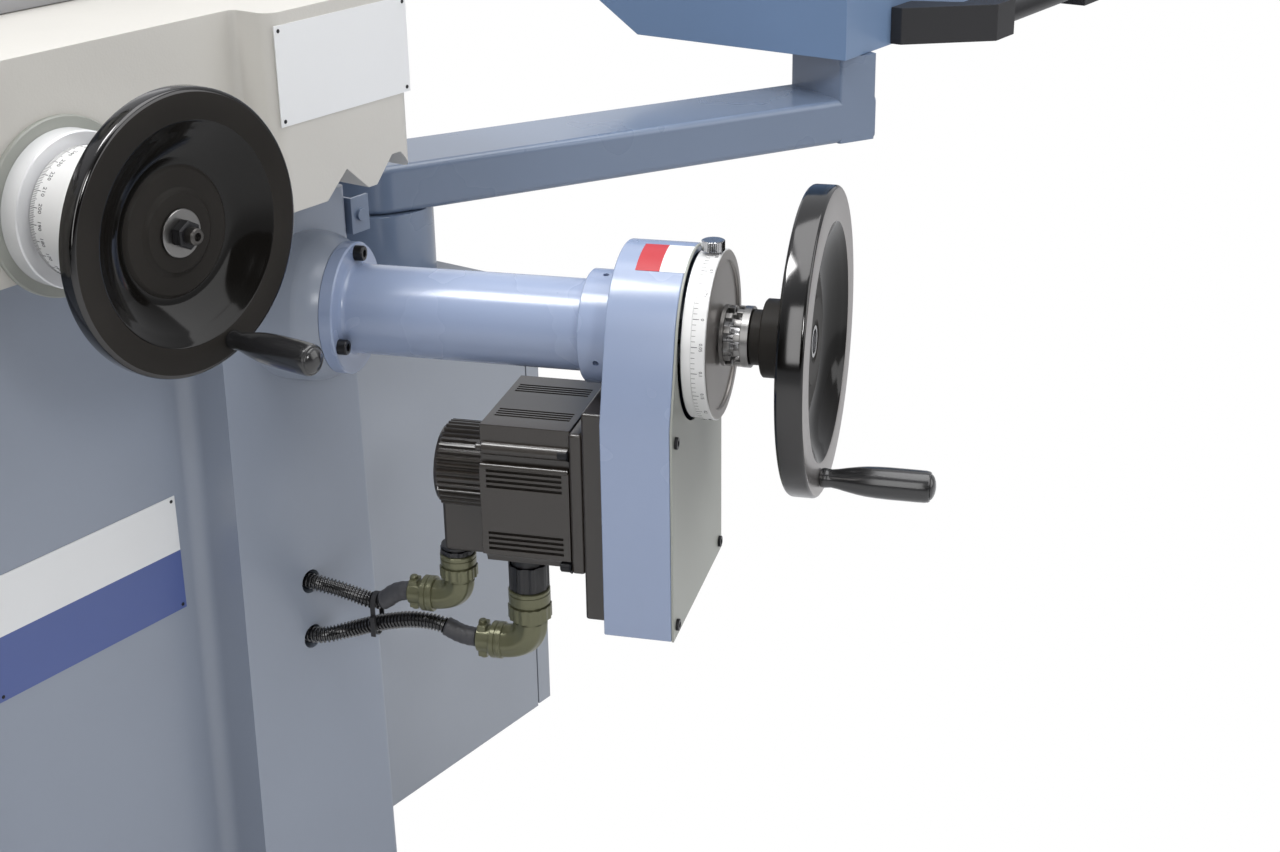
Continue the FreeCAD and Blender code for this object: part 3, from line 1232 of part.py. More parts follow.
# Cross feed on the saddle front
def make_cross_feed():
    flange = bushing("cross_flange_body", S.fit / 2, S.ring_thick, S.drum_bore, S.ring_radius, CROSS)
    keep(flange, "cross_flange")
    drum_end = S.ring_thick + S.drum_length
    drum = turned("cross_drum_body", [
        (S.ring_thick, S.drum_bore), (drum_end, S.drum_bore), (drum_end, S.drum_radius - S.dial_chamfer),
        (drum_end - S.dial_chamfer, S.drum_radius), (S.ring_thick, S.drum_radius),
    ], CROSS)
    keep(drum, "cross_drum")
    start = drum_end + S.dial_gap
    end = start + S.dial_length
    dial = turned("cross_dial_body", [
        (start, S.screw_neck + S.fit), (end, S.screw_neck + S.fit), (end, S.dial_radius - S.dial_chamfer),
        (end - S.dial_chamfer, S.dial_radius), (start + S.dial_chamfer, S.dial_radius),
        (start, S.dial_radius - S.dial_chamfer),
    ], CROSS)
    keep(dial, "cross_dial")
    nose = S.cross_reach - S.cross_boss_sink
    screw = turned("cross_screw_body", [
        (-S.cross_screw_length, ZERO), (nose - S.fit, ZERO), (nose - S.fit, S.screw_neck),
        (drum_end, S.screw_neck), (drum_end, S.drum_bore - S.fit),
        (S.ring_thick, S.drum_bore - S.fit), (S.ring_thick, S.cross_screw_radius),
        (-S.cross_screw_length, S.cross_screw_radius),
    ], CROSS)
    keep(screw, "cross_screw")
    make_small_wheel("cross", CROSS, S.cross_reach, S.cross_reach - end - S.fit, CROSS_GRIP_ANGLE)
    hub_nut("cross_hub_nut", CROSS, S.cross_reach)


# Table, chuck and splash guard
def make_table():
    low = SADDLE_TOP + S.way_clearance
    high = low + S.table_thick
    front, back = -S.table_centre - S.table_width / 2, -S.table_centre + S.table_width / 2
    gap = S.way_clearance
    outline = [(front, low)]
    for place in (-S.table_centre - S.table_way_spread, -S.table_centre + S.table_way_spread):
        outline += [
            (place - S.table_way_half - gap, low), (place - S.table_way_flat - gap, low + S.table_way_rise),
            (place + S.table_way_flat + gap, low + S.table_way_rise), (place + S.table_way_half + gap, low),
        ]
    outline += [
        (back, low), (back, high + S.table_lip), (back - S.table_lip, high + S.table_lip),
        (back - S.table_lip, high), (front + S.table_lip, high), (front + S.table_lip, high + S.table_lip),
        (front, high + S.table_lip),
    ]
    slab = prism("table_slab", outline, -S.table_half, S.table_half, "YZ_Plane")
    rack_low = TABLE_WHEEL_HEIGHT + S.pinion_radius + S.rack_gap
    rack = box("table_rack", (-S.rack_reach, -S.table_centre - S.rack_half, rack_low),
               (S.rack_reach, -S.table_centre + S.rack_half, low + S.table_way_rise))
    keep(fuse("table_joined", [slab, rack]), "table")

    seat = high
    left, right = -S.chuck_length / 2, S.chuck_length / 2
    near, far = -S.table_centre - S.chuck_width / 2, -S.table_centre + S.chuck_width / 2
    chuck = box("chuck_block", (left, near, seat), (right, far, seat + S.chuck_height))
    rim = S.chuck_flange
    flange = box("chuck_flange", (left - rim, near, seat), (right + rim, far, seat + S.chuck_flange_thick))
    keep(fuse("chuck_joined", [chuck, flange]), "magnetic_chuck")

    skin = S.guard_skin
    out = S.guard_out
    wall_low = seat
    high = seat + S.guard_height
    y0, y1 = near + S.guard_front_inset, far + S.table_lip / 2 - S.fit
    x1 = right + rim + out
    plan = [
        (-x1, y0), (-x1 + skin, y0), (-x1 + skin, y1 - skin), (x1 - skin, y1 - skin), (x1 - skin, y0),
        (x1, y0), (x1, y1), (-x1, y1),
    ]
    guard = prism("splash_guard_walls", plan, wall_low, high)
    keep(guard, "splash_guard")


def make_table_wheel():
    frame = TABLE_WHEEL
    reach = S.table_reach
    angle = TABLE_GRIP_ANGLE
    side = S.table_grip_orbit * cosine(angle)
    rise = S.table_grip_orbit * sine(angle)
    bore = S.pin_radius
    end = -S.saddle_front + S.table_centre - S.pinion_half
    profile = wheel_profile(reach, ZERO, S.table_wheel, S.cross_rim, S.table_rim_band, S.table_disc,
                            S.cross_hub_sink, S.cross_boss, S.cross_boss_sink, S.cross_web, S.cross_hub,
                            reach - S.fit * 2)
    profile[-1:] = [
        (S.fit * 2, S.pinion_shaft), (end + S.pinion_half * 2, S.pinion_shaft),
        (end + S.pinion_half * 2, S.pinion_radius), (end, S.pinion_radius), (end, ZERO),
    ]
    wheel = turned("table_wheel_body", profile, frame)
    drilled = drill_rim("table", wheel, frame, side, rise, reach, S.cross_rim)
    keep(drilled, "table_handwheel")
    grip_set("table", frame, reach, S.table_grip_orbit, angle, S.table_grip_length, S.table_grip_radius,
             S.cross_rim)


# Wheel head with its motor, spindle, guard and elevating screw
def make_wheel_head():
    half, gap = S.head_half, S.gib_gap
    way = S.column_front - S.rail_depth
    step = S.column_front - S.rail_depth / 2
    neck = S.rail_half - S.rail_lip
    rear = S.column_front - gap
    outline = [
        (-half, S.head_front), (half, S.head_front), (half, rear), (neck + gap, rear), (neck + gap, step + gap),
        (S.rail_half + gap, step + gap), (S.rail_half + gap, way - gap), (-S.rail_half - gap, way - gap),
        (-S.rail_half - gap, step + gap), (-neck - gap, step + gap), (-neck - gap, rear), (-half, rear),
    ]
    low, high = S.head_height - S.head_rise, S.head_height + S.head_rise
    block = prism("head_block", outline, low, high)
    arm = box("elevating_nut", (-S.nut_half, way - gap - S.weld, S.head_height - S.nut_half),
              (S.nut_half, S.screw_depth + S.nut_half, S.head_height + S.nut_half))
    hole = rod("elevating_bore", (ZERO, S.screw_depth, S.head_height - S.nut_half - S.over),
               (ZERO, S.screw_depth, S.head_height + S.nut_half + S.over), S.lead_radius + S.running)
    socket = rod("spindle_room", (ZERO, S.head_front - S.over, S.head_height),
                 (ZERO, S.head_front + S.spindle_room, S.head_height), S.spindle_radius + S.housing_clear, "Y")
    keep(cut("head_bored", fuse("head_joined", [block, arm]), [hole, socket]), "head_casting")

    head = Frame(ZERO, ZERO, S.head_height)
    back = -S.head_front + S.fit
    front = S.barrel_front
    nose = front - S.nose_length
    fins = []
    pitch = (nose - back) / (BARREL_FINS + 1)
    for index in range(BARREL_FINS):
        start = back + pitch * (index + FIN_SHARE)
        fins += [(start, S.motor_barrel), (start, S.motor_barrel + S.barrel_fin),
                 (start + pitch * FIN_SHARE, S.motor_barrel + S.barrel_fin),
                 (start + pitch * FIN_SHARE, S.motor_barrel)]
    profile = [(back, S.spindle_radius + S.running), (back, S.motor_barrel)] + fins + [
        (nose, S.motor_barrel), (nose, S.nose_radius), (front, S.nose_radius),
        (front, S.spindle_radius + S.running),
    ]
    keep(turned("spindle_motor_body", profile[::-1], head), "spindle_motor")

    plane = S.wheel_plane
    thick = S.wheel_thick / 2
    plate = S.flange_plate
    spindle = turned("spindle_body", [
        (-S.head_front - S.spindle_tail, ZERO), (plane + thick + plate + S.nut_thick, ZERO),
        (plane + thick + plate + S.nut_thick, S.nut_radius * 2),
        (plane + thick + plate, S.nut_radius * 2), (plane + thick + plate, S.wheel_flange),
        (plane + thick, S.wheel_flange), (plane + thick, S.spindle_radius),
        (plane - thick, S.spindle_radius), (plane - thick, S.wheel_flange),
        (plane - thick - plate, S.wheel_flange), (plane - thick - plate, S.spindle_radius),
        (-S.head_front - S.spindle_tail, S.spindle_radius),
    ], head)
    keep(spindle, "spindle")
    stone = bushing("grinding_wheel_body", plane - thick, plane + thick, S.wheel_bore, S.wheel_radius, head)
    keep(stone, "grinding_wheel")

    wall = S.guard_wall
    start, end = front + S.fit, plane + S.guard_side
    outer = S.guard_radius
    def hood(radius, drop):
        return [(radius, -drop), (radius, ZERO), (ZERO, radius, radius), (-radius, ZERO, radius),
                (-radius, -drop)]

    shell = prism("guard_shell", hood(outer, S.guard_skirt), start, end, "XZ_Plane", head)
    room = prism("guard_room", hood(outer - wall, S.guard_skirt + S.over), start + wall, end - wall,
                 "XZ_Plane", head)
    hole = bushing_rod("guard_hole", head, ZERO, ZERO, start - S.over, start + wall + S.over,
                       S.wheel_flange + S.over)
    keep(cut("guard_opened", shell, [room, hole]), "wheel_guard")

    foot = S.base_height + S.seat_rise + S.fit
    screw = rod("elevating_screw_rod", (ZERO, S.screw_depth, foot), (ZERO, S.screw_depth, foot + S.lead_length),
                S.lead_radius)
    keep(screw, "elevating_screw")


# Electrical cabinet
def make_cabinet():
    left, right = S.cabinet_left, S.cabinet_right
    front, back = -S.cabinet_front, -S.cabinet_front + S.cabinet_depth
    low, high = S.cabinet_foot, S.cabinet_top
    skin = S.cabinet_skin
    case = box("cabinet_case", (left, front, low), (right, back, high))
    room = box("cabinet_room", (left + skin, front + skin, low + skin),
               (right + S.over, back - skin, high - skin))
    lip = S.cabinet_lip
    hollow = cut("cabinet_hollow", case, [room])
    frame_outer = box("lip_outer", (right - skin, front, low), (right, back, high))
    frame_inner = box("lip_inner", (right - skin - S.over, front + lip, low + lip),
                      (right + S.over, back - lip, high - lip))
    rim = cut("cabinet_rim", frame_outer, [frame_inner])
    pan = box("mounting_plate", (left + skin / 2, front + lip * 2, low + lip * 2),
              (left + skin * 2, back - lip * 2, high - lip * 2))
    gap = S.door_gap
    near, far = right + gap, right + gap + S.door_thick
    axis_x, axis_y = far - S.door_thick / 2, back + S.hinge_setback
    leaf = S.hinge_leaf
    rear = back - S.door_back_gap
    fixed = []
    moving = []
    for index, share in enumerate(HINGE_SHARES):
        z = low + (high - low) * share
        top = z + S.hinge_length
        moving.append(rod("door_knuckle_%d" % (index + 1), (axis_x, axis_y, z), (axis_x, axis_y, top),
                          S.hinge_radius))
        moving.append(box("door_leaf_%d" % (index + 1), (axis_x - leaf / 2, rear - leaf, z),
                          (axis_x + leaf / 2, axis_y, top)))
        z = top + S.swivel_gap
        top = z + S.hinge_length
        fixed.append(rod("case_knuckle_%d" % (index + 1), (axis_x, axis_y, z), (axis_x, axis_y, top),
                         S.hinge_radius))
        fixed.append(box("case_leaf_%d" % (index + 1), (right - leaf, back - leaf, z),
                         (axis_x, back, top)))
    keep(fuse("cabinet_joined", [hollow, rim, pan] + fixed), "cabinet_shell")

    panel = box("door_panel", (near, front, low + gap), (far, rear, high - gap))
    inside = box("door_room", (near - S.over, front + S.door_skin, low + gap + S.door_skin),
                 (far - S.door_skin, rear - S.door_skin, high - gap - S.door_skin))
    shell = cut("door_shell", panel, [inside])
    keep(fuse("door_joined", [shell] + moving), "cabinet_door")


# Post, swivel arm and control box
def make_arm():
    low = S.cabinet_top
    post = turned("arm_post_body", [
        (ZERO, low), (S.post_radius, low), (S.post_radius, S.post_top - S.swivel_gap),
        (S.spigot_radius, S.post_top - S.swivel_gap), (S.spigot_radius, S.post_top + S.arm_depth - S.arm_cap),
        (ZERO, S.post_top + S.arm_depth - S.arm_cap),
    ], ARM, axis="Z")
    keep(post, "arm_post")
    start, end = S.post_top, S.post_top + S.arm_depth
    half, bend = S.arm_half, S.arm_round
    length = S.arm_length
    wall = S.arm_wall
    tip = length + S.end_post / 2
    beam = prism("arm_beam", rounded_rectangle(-half, start, half, end, bend), ZERO, tip, "YZ_Plane", ARM)
    sleeve = turned("arm_sleeve", [
        (ZERO, start), (half - bend, start), (half, start + bend, bend), (half, end - bend),
        (half - bend, end, bend), (ZERO, end),
    ], ARM, axis="Z")
    post_low, post_high = start, S.box_bottom - S.swivel_gap
    root, crown = length - S.end_post / 2, tip
    end_post = prism("arm_end_post", rounded_rectangle(root, -half, crown, half, bend / 2), post_low,
                     post_high, "XY_Plane", ARM)
    tools = [
        prism("arm_bore", [["circle", ZERO, ZERO, S.spigot_radius + S.running]], start - S.over,
              end - S.arm_cap + S.fit, "XY_Plane", ARM),
        prism("arm_room", rectangle(-half + wall, start + wall, half - wall, end - wall), half + wall,
              length, "YZ_Plane", ARM),
        prism("post_room", rectangle(root + wall, -half + wall, crown - wall, half - wall), post_low - S.over,
              post_high - S.arm_cap, "XY_Plane", ARM),
        prism("pivot_bore", [["circle", length, ZERO, S.box_pivot + S.running]],
              post_high - S.arm_cap - S.over, post_high + S.over, "XY_Plane", ARM),
    ]
    keep(cut("arm_hollowed", fuse("arm_joined", [beam, sleeve, end_post]), tools), "swivel_arm")


def make_control_box():
    spot = ARM.point(S.arm_length, ZERO, ZERO)
    left = spot[0] - S.box_pivot_side
    right = left + S.box_width
    front = spot[1] - S.box_pivot_setback
    back = front + S.box_depth
    low, high = S.box_bottom, S.box_bottom + S.box_height
    flat = front + S.box_flat
    rise = low + S.box_rise

    def section(inset, cut_front):
        return [(front + cut_front, low + inset), (flat, low + inset), (back - inset, rise + inset),
                (back - inset, high - inset), (front + cut_front, high - inset)]

    outer = prism("box_outer", section(ZERO, ZERO), left, right, "YZ_Plane")
    inner = prism("box_inner", section(S.box_skin, S.box_skin), left + S.box_skin, right - S.box_skin,
                  "YZ_Plane")
    pivot = rod("box_pivot", (spot[0], spot[1], low - S.arm_cap - S.swivel_gap),
                (spot[0], spot[1], low + S.box_skin), S.box_pivot)
    panel_low, panel_high = high - S.panel_top - S.screen_height, high - S.panel_top
    screen = box("screen_recess", (left + S.screen_side, front - S.over, panel_low),
                 (left + S.screen_side + S.screen_width, front + S.box_skin / 2, panel_high))
    stop_x, stop_z = left + S.stop_side, low + S.stop_rise
    bore = rod("stop_bore", (stop_x, front - S.over, stop_z), (stop_x, front + S.box_skin + S.over, stop_z),
               S.button_radius + S.button_gap, "Y")
    shell = cut("box_shell", outer, [inner, screen, bore])
    keep(fuse("box_joined", [shell, pivot]), "pendant_box")

    button_frame = Frame(stop_x, front, stop_z)
    stop = turned("emergency_stop_body", [
        (-S.button_inside, ZERO), (S.button_out + S.button_travel + S.stop_cap, ZERO),
        (S.button_out + S.button_travel + S.stop_cap, S.stop_radius - S.edge_round),
        (S.button_out + S.button_travel + S.stop_cap - S.edge_round, S.stop_radius, S.edge_round),
        (S.button_out + S.button_travel, S.stop_radius), (S.button_out + S.button_travel, S.button_radius),
        (-S.button_inside, S.button_radius),
    ], button_frame)
    keep(stop, "emergency_stop")

    brackets = []
    foot = S.handle_foot
    axis_y = front - S.handle_stand
    axis_z = low + S.handle_rise
    for index, start in enumerate((left + S.handle_first, left + S.handle_first + S.bracket_length
                                   + S.handle_length - S.handle_overlap_length * 2)):
        mirrored = index == 1
        inner_x = start + S.bracket_length
        near_x, far_x = (inner_x, start) if mirrored else (start, inner_x)
        side = -ONE if mirrored else ONE
        outline = [
            (near_x, front), (near_x, front - S.handle_lug), (far_x - side * foot, axis_y - S.handle_boss),
            (far_x, axis_y - S.handle_boss), (far_x, axis_y + S.handle_boss),
            (far_x - side * S.handle_heel, axis_y + S.handle_boss), (near_x + side * foot, front),
        ]
        arm = prism("handle_arm_%d" % (index + 1), outline if not mirrored else outline[::-1],
                    axis_z - S.handle_boss, axis_z + S.handle_boss)
        hole_start, hole_end = sorted((far_x, far_x - side * S.handle_overlap_length), key=number)
        bore = rod("handle_bore_%d" % (index + 1), (hole_start, axis_y, axis_z), (hole_end, axis_y, axis_z),
                   S.handle_radius + S.fit, "X")
        brackets.append(cut("handle_bracket_%d" % (index + 1), arm, [bore]))
    keep(group("handle_bracket_group", brackets), "handle_brackets")
    start = left + S.handle_first + S.bracket_length - S.handle_overlap_length + S.fit
    tube = rod("handle_tube_rod", (start, axis_y, axis_z),
               (start + S.handle_length - S.fit * 2, axis_y, axis_z), S.handle_radius, "X")
    keep(tube, "handle_tube")


def make_tab():
    """Guard tab: an angle on the base's corner with a button-headed screw."""
    wall = S.base_half_top + S.tab_gap
    front = -S.base_front
    thick = S.tab_thick
    high = S.base_height - S.tab_drop
    low = high - S.tab_height
    outline = [
        (wall, front), (wall, front - thick), (wall + S.tab_width, front - thick), (wall + S.tab_width, front),
        (wall + thick, front), (wall + thick, front + S.tab_leg), (wall, front + S.tab_leg),
    ]
    plate = prism("tab_plate", outline, low, high)
    middle = (low + high) / 2
    x = wall + S.tab_width / 2
    head = rod("tab_screw", (x, front - thick - S.tab_thick, middle), (x, front - thick, middle),
               S.tab_screw, "Y")
    keep(fuse("tab_joined", [plate, head]), "guard_tab")


def make_down_wheel():
    reach = S.down_reach
    angle = DOWN_GRIP_ANGLE
    side = S.down_grip_orbit * cosine(angle)
    rise = S.down_grip_orbit * sine(angle)
    wheel = turned("down_wheel_body", wheel_profile(
        reach, S.bush_radius + S.running, S.down_wheel, S.down_rim, S.down_rim_band, S.down_hub_disc,
        S.down_hub_sink, S.down_boss, S.down_boss_sink, S.cross_web, S.down_hub, S.down_hub_back,
        (S.down_sleeve, S.down_hub_sleeve_back)), FEED)
    drilled = drill_rim("down", wheel, FEED, side, rise, reach, S.down_rim)
    keep(drilled, "down_handwheel")
    grip_set("down", FEED, reach, S.down_grip_orbit, angle, S.down_grip_length, S.down_grip_radius,
             S.down_rim)


def check_and_export():
    """Checks every object and every shape, then writes one file for each node."""
    doc.recompute()
    for item in doc.Objects:
        if "Invalid" in item.State or "Error" in item.State:
            raise RuntimeError("%s did not compute: %s" % (item.Label, item.State))
    os.makedirs("parts", exist_ok=True)
    for piece in PARTS:
        shape = piece.Shape
        if not shape.isValid() or not shape.Solids:
            raise RuntimeError(piece.Label + " has no valid solid")
        shape.exportStep("parts/" + piece.Label + ".step")
    print("%d nodes written" % len(PARTS))


def main():
    make_base()
    make_feet()
    make_column()
    make_saddle()
    make_cross_feed()
    make_feed_tube()
    make_collar()
    make_housing()
    make_down_dial()
    make_clutch()
    make_feed_shaft()
    make_down_wheel()
    make_belt_drive()
    make_servo()
    make_plugs()
    make_conduits()
    make_tie()
    make_table()
    make_table_wheel()
    make_wheel_head()
    make_cabinet()
    make_arm()
    make_control_box()
    make_tab()
    check_and_export()


main()
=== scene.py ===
"""Surface grinder: the looks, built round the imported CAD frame."""

import json
import logging
import math
from dataclasses import dataclass, replace
from enum import Enum
from functools import cache
from typing import Callable, Iterable, Sequence

import bpy
from mathutils import Matrix, Vector

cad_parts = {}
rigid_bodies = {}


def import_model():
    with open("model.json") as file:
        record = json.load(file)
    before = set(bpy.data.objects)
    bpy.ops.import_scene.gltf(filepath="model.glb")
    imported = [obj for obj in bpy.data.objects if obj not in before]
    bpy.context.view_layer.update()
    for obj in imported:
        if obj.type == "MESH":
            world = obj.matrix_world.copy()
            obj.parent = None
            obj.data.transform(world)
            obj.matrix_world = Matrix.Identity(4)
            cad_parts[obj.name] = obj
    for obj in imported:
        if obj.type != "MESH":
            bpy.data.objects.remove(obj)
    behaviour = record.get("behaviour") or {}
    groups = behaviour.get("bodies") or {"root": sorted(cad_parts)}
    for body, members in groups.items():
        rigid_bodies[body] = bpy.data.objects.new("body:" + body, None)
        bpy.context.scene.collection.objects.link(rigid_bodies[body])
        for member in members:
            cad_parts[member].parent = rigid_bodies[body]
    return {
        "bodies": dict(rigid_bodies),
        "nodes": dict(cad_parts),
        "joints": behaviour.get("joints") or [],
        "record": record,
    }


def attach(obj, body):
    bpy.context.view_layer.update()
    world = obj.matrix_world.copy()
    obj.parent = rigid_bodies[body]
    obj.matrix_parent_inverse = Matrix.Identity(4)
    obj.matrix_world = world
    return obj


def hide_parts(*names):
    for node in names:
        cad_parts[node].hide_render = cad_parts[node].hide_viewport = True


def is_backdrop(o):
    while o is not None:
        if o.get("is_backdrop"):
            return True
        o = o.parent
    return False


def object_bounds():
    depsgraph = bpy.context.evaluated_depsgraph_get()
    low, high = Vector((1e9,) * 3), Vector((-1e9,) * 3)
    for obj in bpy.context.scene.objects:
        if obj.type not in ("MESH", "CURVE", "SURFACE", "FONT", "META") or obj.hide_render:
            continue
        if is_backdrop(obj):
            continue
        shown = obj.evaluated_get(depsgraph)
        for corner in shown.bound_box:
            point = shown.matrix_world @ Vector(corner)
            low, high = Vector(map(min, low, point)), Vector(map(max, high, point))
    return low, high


LOG = logging.getLogger("surface_grinder")
MM = 0.001
Colour = tuple[float, float, float]
Point = tuple[float, float]
Test = Callable[[float, float], bool]

# Edges that turn by more than this many degrees stay sharp
TURNED_ANGLE = 25.0
CUT_ANGLE = 30.0
FRAME_ANGLE = 32.0
EDGE_ANGLE = 35.0
SWEPT_ANGLE = 40.0

# Points closer than this are one, in metres
SAME_POINT = 1e-6


class Grain(Enum):
    """What the surface of a finish is like close up."""

    ENAMEL = "enamel"
    TEXTURED = "textured"
    TURNED = "turned"
    MOULDED = "moulded"
    GROUND = "ground"


@dataclass(frozen=True)
class Place:
    """A local frame that points outwards along -Y: its origin in mm and its turn about Z in degrees."""

    x: float
    y: float
    z: float
    turn: float = 0.0

    def matrix(self) -> Matrix:
        """The frame as a matrix in metres."""
        shift = Matrix.Translation(Vector((self.x, self.y, self.z)) * MM)
        return shift @ Matrix.Rotation(math.radians(self.turn), 4, "Z")

    def spindle(self, side: float = 0.0, rise: float = 0.0) -> Matrix:
        """Frame whose Z axis points outwards, for turned pieces.

        Args:
            side: Distance to the right of the frame's axis, in mm.
            rise: Height above the frame's axis, in mm.

        Returns:
            Matrix from a lathe's own space, where Z is the distance out.
        """
        shift = Matrix.Translation(Vector((side, 0, rise)) * MM)
        return self.matrix() @ shift @ Matrix.Rotation(math.radians(90), 4, "X")

    def point(self, side: float, out: float, rise: float) -> Vector:
        """Point to the right, outwards and above, in metres."""
        return self.matrix() @ (Vector((side, -out, rise)) * MM)


# The front right levelling foot and the axes, measured from the middle of the machine
FOOT = (278, -490)
FEED = Place(262 - FOOT[0], -560 - FOOT[1], 674, 20.78)
CROSS = Place(-FOOT[0], -594 - FOOT[1], 830)
TABLE_WHEEL = Place(-262 - FOOT[0], -633 - FOOT[1], 860)
MACHINE = Place(-FOOT[0], -FOOT[1], 0)


class NodeBuilder:
    """Short calls for adding and joining shader nodes."""

    def __init__(self, tree: bpy.types.NodeTree) -> None:
        """Keeps the tree that the nodes go into."""
        self.tree = tree

    def add(self, kind: str, **values: object) -> bpy.types.Node:
        """Adds a node and sets its properties.

        Args:
            kind: Node type, without the ShaderNode prefix.
            values: Properties of the node.

        Returns:
            The new node.
        """
        node = self.tree.nodes.new("ShaderNode" + kind)
        for name, value in values.items():
            setattr(node, name, value)
        return node

    def feed(self, node: bpy.types.Node, values: dict[int | str, object]) -> bpy.types.Node:
        """Fills a node's inputs.

        Args:
            node: The node.
            values: For each input, by place or name, a socket to join or a value to set.

        Returns:
            The same node.
        """
        for name, value in values.items():
            if isinstance(value, bpy.types.NodeSocket):
                self.tree.links.new(value, node.inputs[name])
            else:
                node.inputs[name].default_value = value
        return node

    def math(self, operation: str, *items: object) -> bpy.types.NodeSocket:
        """Adds a maths node.

        Args:
            operation: Blender's name of the operation.
            items: Its inputs, each a socket or a number.

        Returns:
            The result's socket.
        """
        return self.feed(self.add("Math", operation=operation), dict(enumerate(items))).outputs[0]

    def noise(self, vector: bpy.types.NodeSocket, scale: object, detail: float = 3.0,
              rough: float = 0.5) -> bpy.types.NodeSocket:
        """Adds a noise texture.

        Args:
            vector: Coordinates.
            scale: Its scale, a socket or a number.
            detail: Number of octaves.
            rough: Share of the finer octaves.

        Returns:
            The value's socket.
        """
        values = {"Vector": vector, "Scale": scale, "Detail": detail, "Roughness": rough}
        return self.feed(self.add("TexNoise"), values).outputs[0]

    def mix(self, factor: bpy.types.NodeSocket, first: object, second: object) -> bpy.types.NodeSocket:
        """Mixes two colours.

        Args:
            factor: Share of the second colour.
            first: First colour, a socket or three numbers.
            second: Second colour, a socket or three numbers.

        Returns:
            The colour's socket.
        """
        colours = {place: colour if isinstance(colour, bpy.types.NodeSocket) else (*colour, 1)
                   for place, colour in ((6, first), (7, second))}
        return self.feed(self.add("Mix", data_type="RGBA"), {0: factor} | colours).outputs[2]

    def ramp(self, value: bpy.types.NodeSocket, low: float, high: float) -> bpy.types.NodeSocket:
        """Maps a stretch of values to 0 to 1.

        Args:
            value: The value's socket.
            low: Value that gives 0.
            high: Value that gives 1.

        Returns:
            The result's socket.
        """
        values = {"Value": value, "From Min": low, "From Max": high}
        return self.feed(self.add("MapRange"), values).outputs[0]


class GroupLibrary:
    """Node groups that several materials share, each built on its first use."""

    def start(self, name: str, inputs: dict[str, float],
              output: str) -> tuple[NodeBuilder, bpy.types.Node, bpy.types.Node]:
        """Makes an empty group with a vector input, value inputs and one value output.

        Args:
            name: The group's name.
            inputs: Its value inputs, with what they are at first.
            output: Name of its output.

        Returns:
            A builder in the group, and the nodes of its inputs and its output.
        """
        tree = bpy.data.node_groups.new(name, "ShaderNodeTree")
        tree.interface.new_socket("Vector", in_out="INPUT", socket_type="NodeSocketVector")
        for label, value in inputs.items():
            socket = tree.interface.new_socket(label, in_out="INPUT", socket_type="NodeSocketFloat")
            socket.default_value = value
        tree.interface.new_socket(output, in_out="OUTPUT", socket_type="NodeSocketFloat")
        return NodeBuilder(tree), tree.nodes.new("NodeGroupInput"), tree.nodes.new("NodeGroupOutput")

    @cache
    def grime(self) -> bpy.types.NodeTree:
        """Soft blotches of handling and dust.

        Returns:
            A group that gives a mask from 0 to 1.
        """
        build, source, sink = self.start("grime", {"Scale": 6.0}, "Mask")
        noise = build.noise(source.outputs["Vector"], source.outputs["Scale"])
        build.feed(sink, {"Mask": build.ramp(noise, 0.2, 0.8)})
        return build.tree

    @cache
    def paint_grain(self) -> bpy.types.NodeTree:
        """Orange peel of sprayed enamel.

        Returns:
            A group that gives a height.
        """
        build, source, sink = self.start("paint_grain", {"Scale": 400.0, "Coarse": 0.3}, "Height")
        vector, scale = source.outputs["Vector"], source.outputs["Scale"]
        fine = build.noise(vector, scale, 2.0)
        coarse = build.noise(vector, build.math("MULTIPLY", scale, 0.22), 1.0)
        big = build.math("MULTIPLY", coarse, source.outputs["Coarse"])
        build.feed(sink, {"Height": build.math("ADD", fine, big)})
        return build.tree

    @cache
    def lathe_rings(self) -> bpy.types.NodeTree:
        """Fine grooves round the Z axis of the vector.

        Returns:
            A group that gives a height.
        """
        build, source, sink = self.start("lathe_rings", {"Pitch": 900.0}, "Height")
        parts = build.feed(build.add("SeparateXYZ"), {0: source.outputs["Vector"]}).outputs
        squares = [build.math("MULTIPLY", part, part) for part in (parts[0], parts[1])]
        radius = build.math("SQRT", build.math("ADD", *squares))
        joined = build.feed(build.add("CombineXYZ"), {0: radius, 1: parts[2]})
        build.feed(sink, {"Height": build.noise(joined.outputs[0], source.outputs["Pitch"])})
        return build.tree


GROUPS = GroupLibrary()


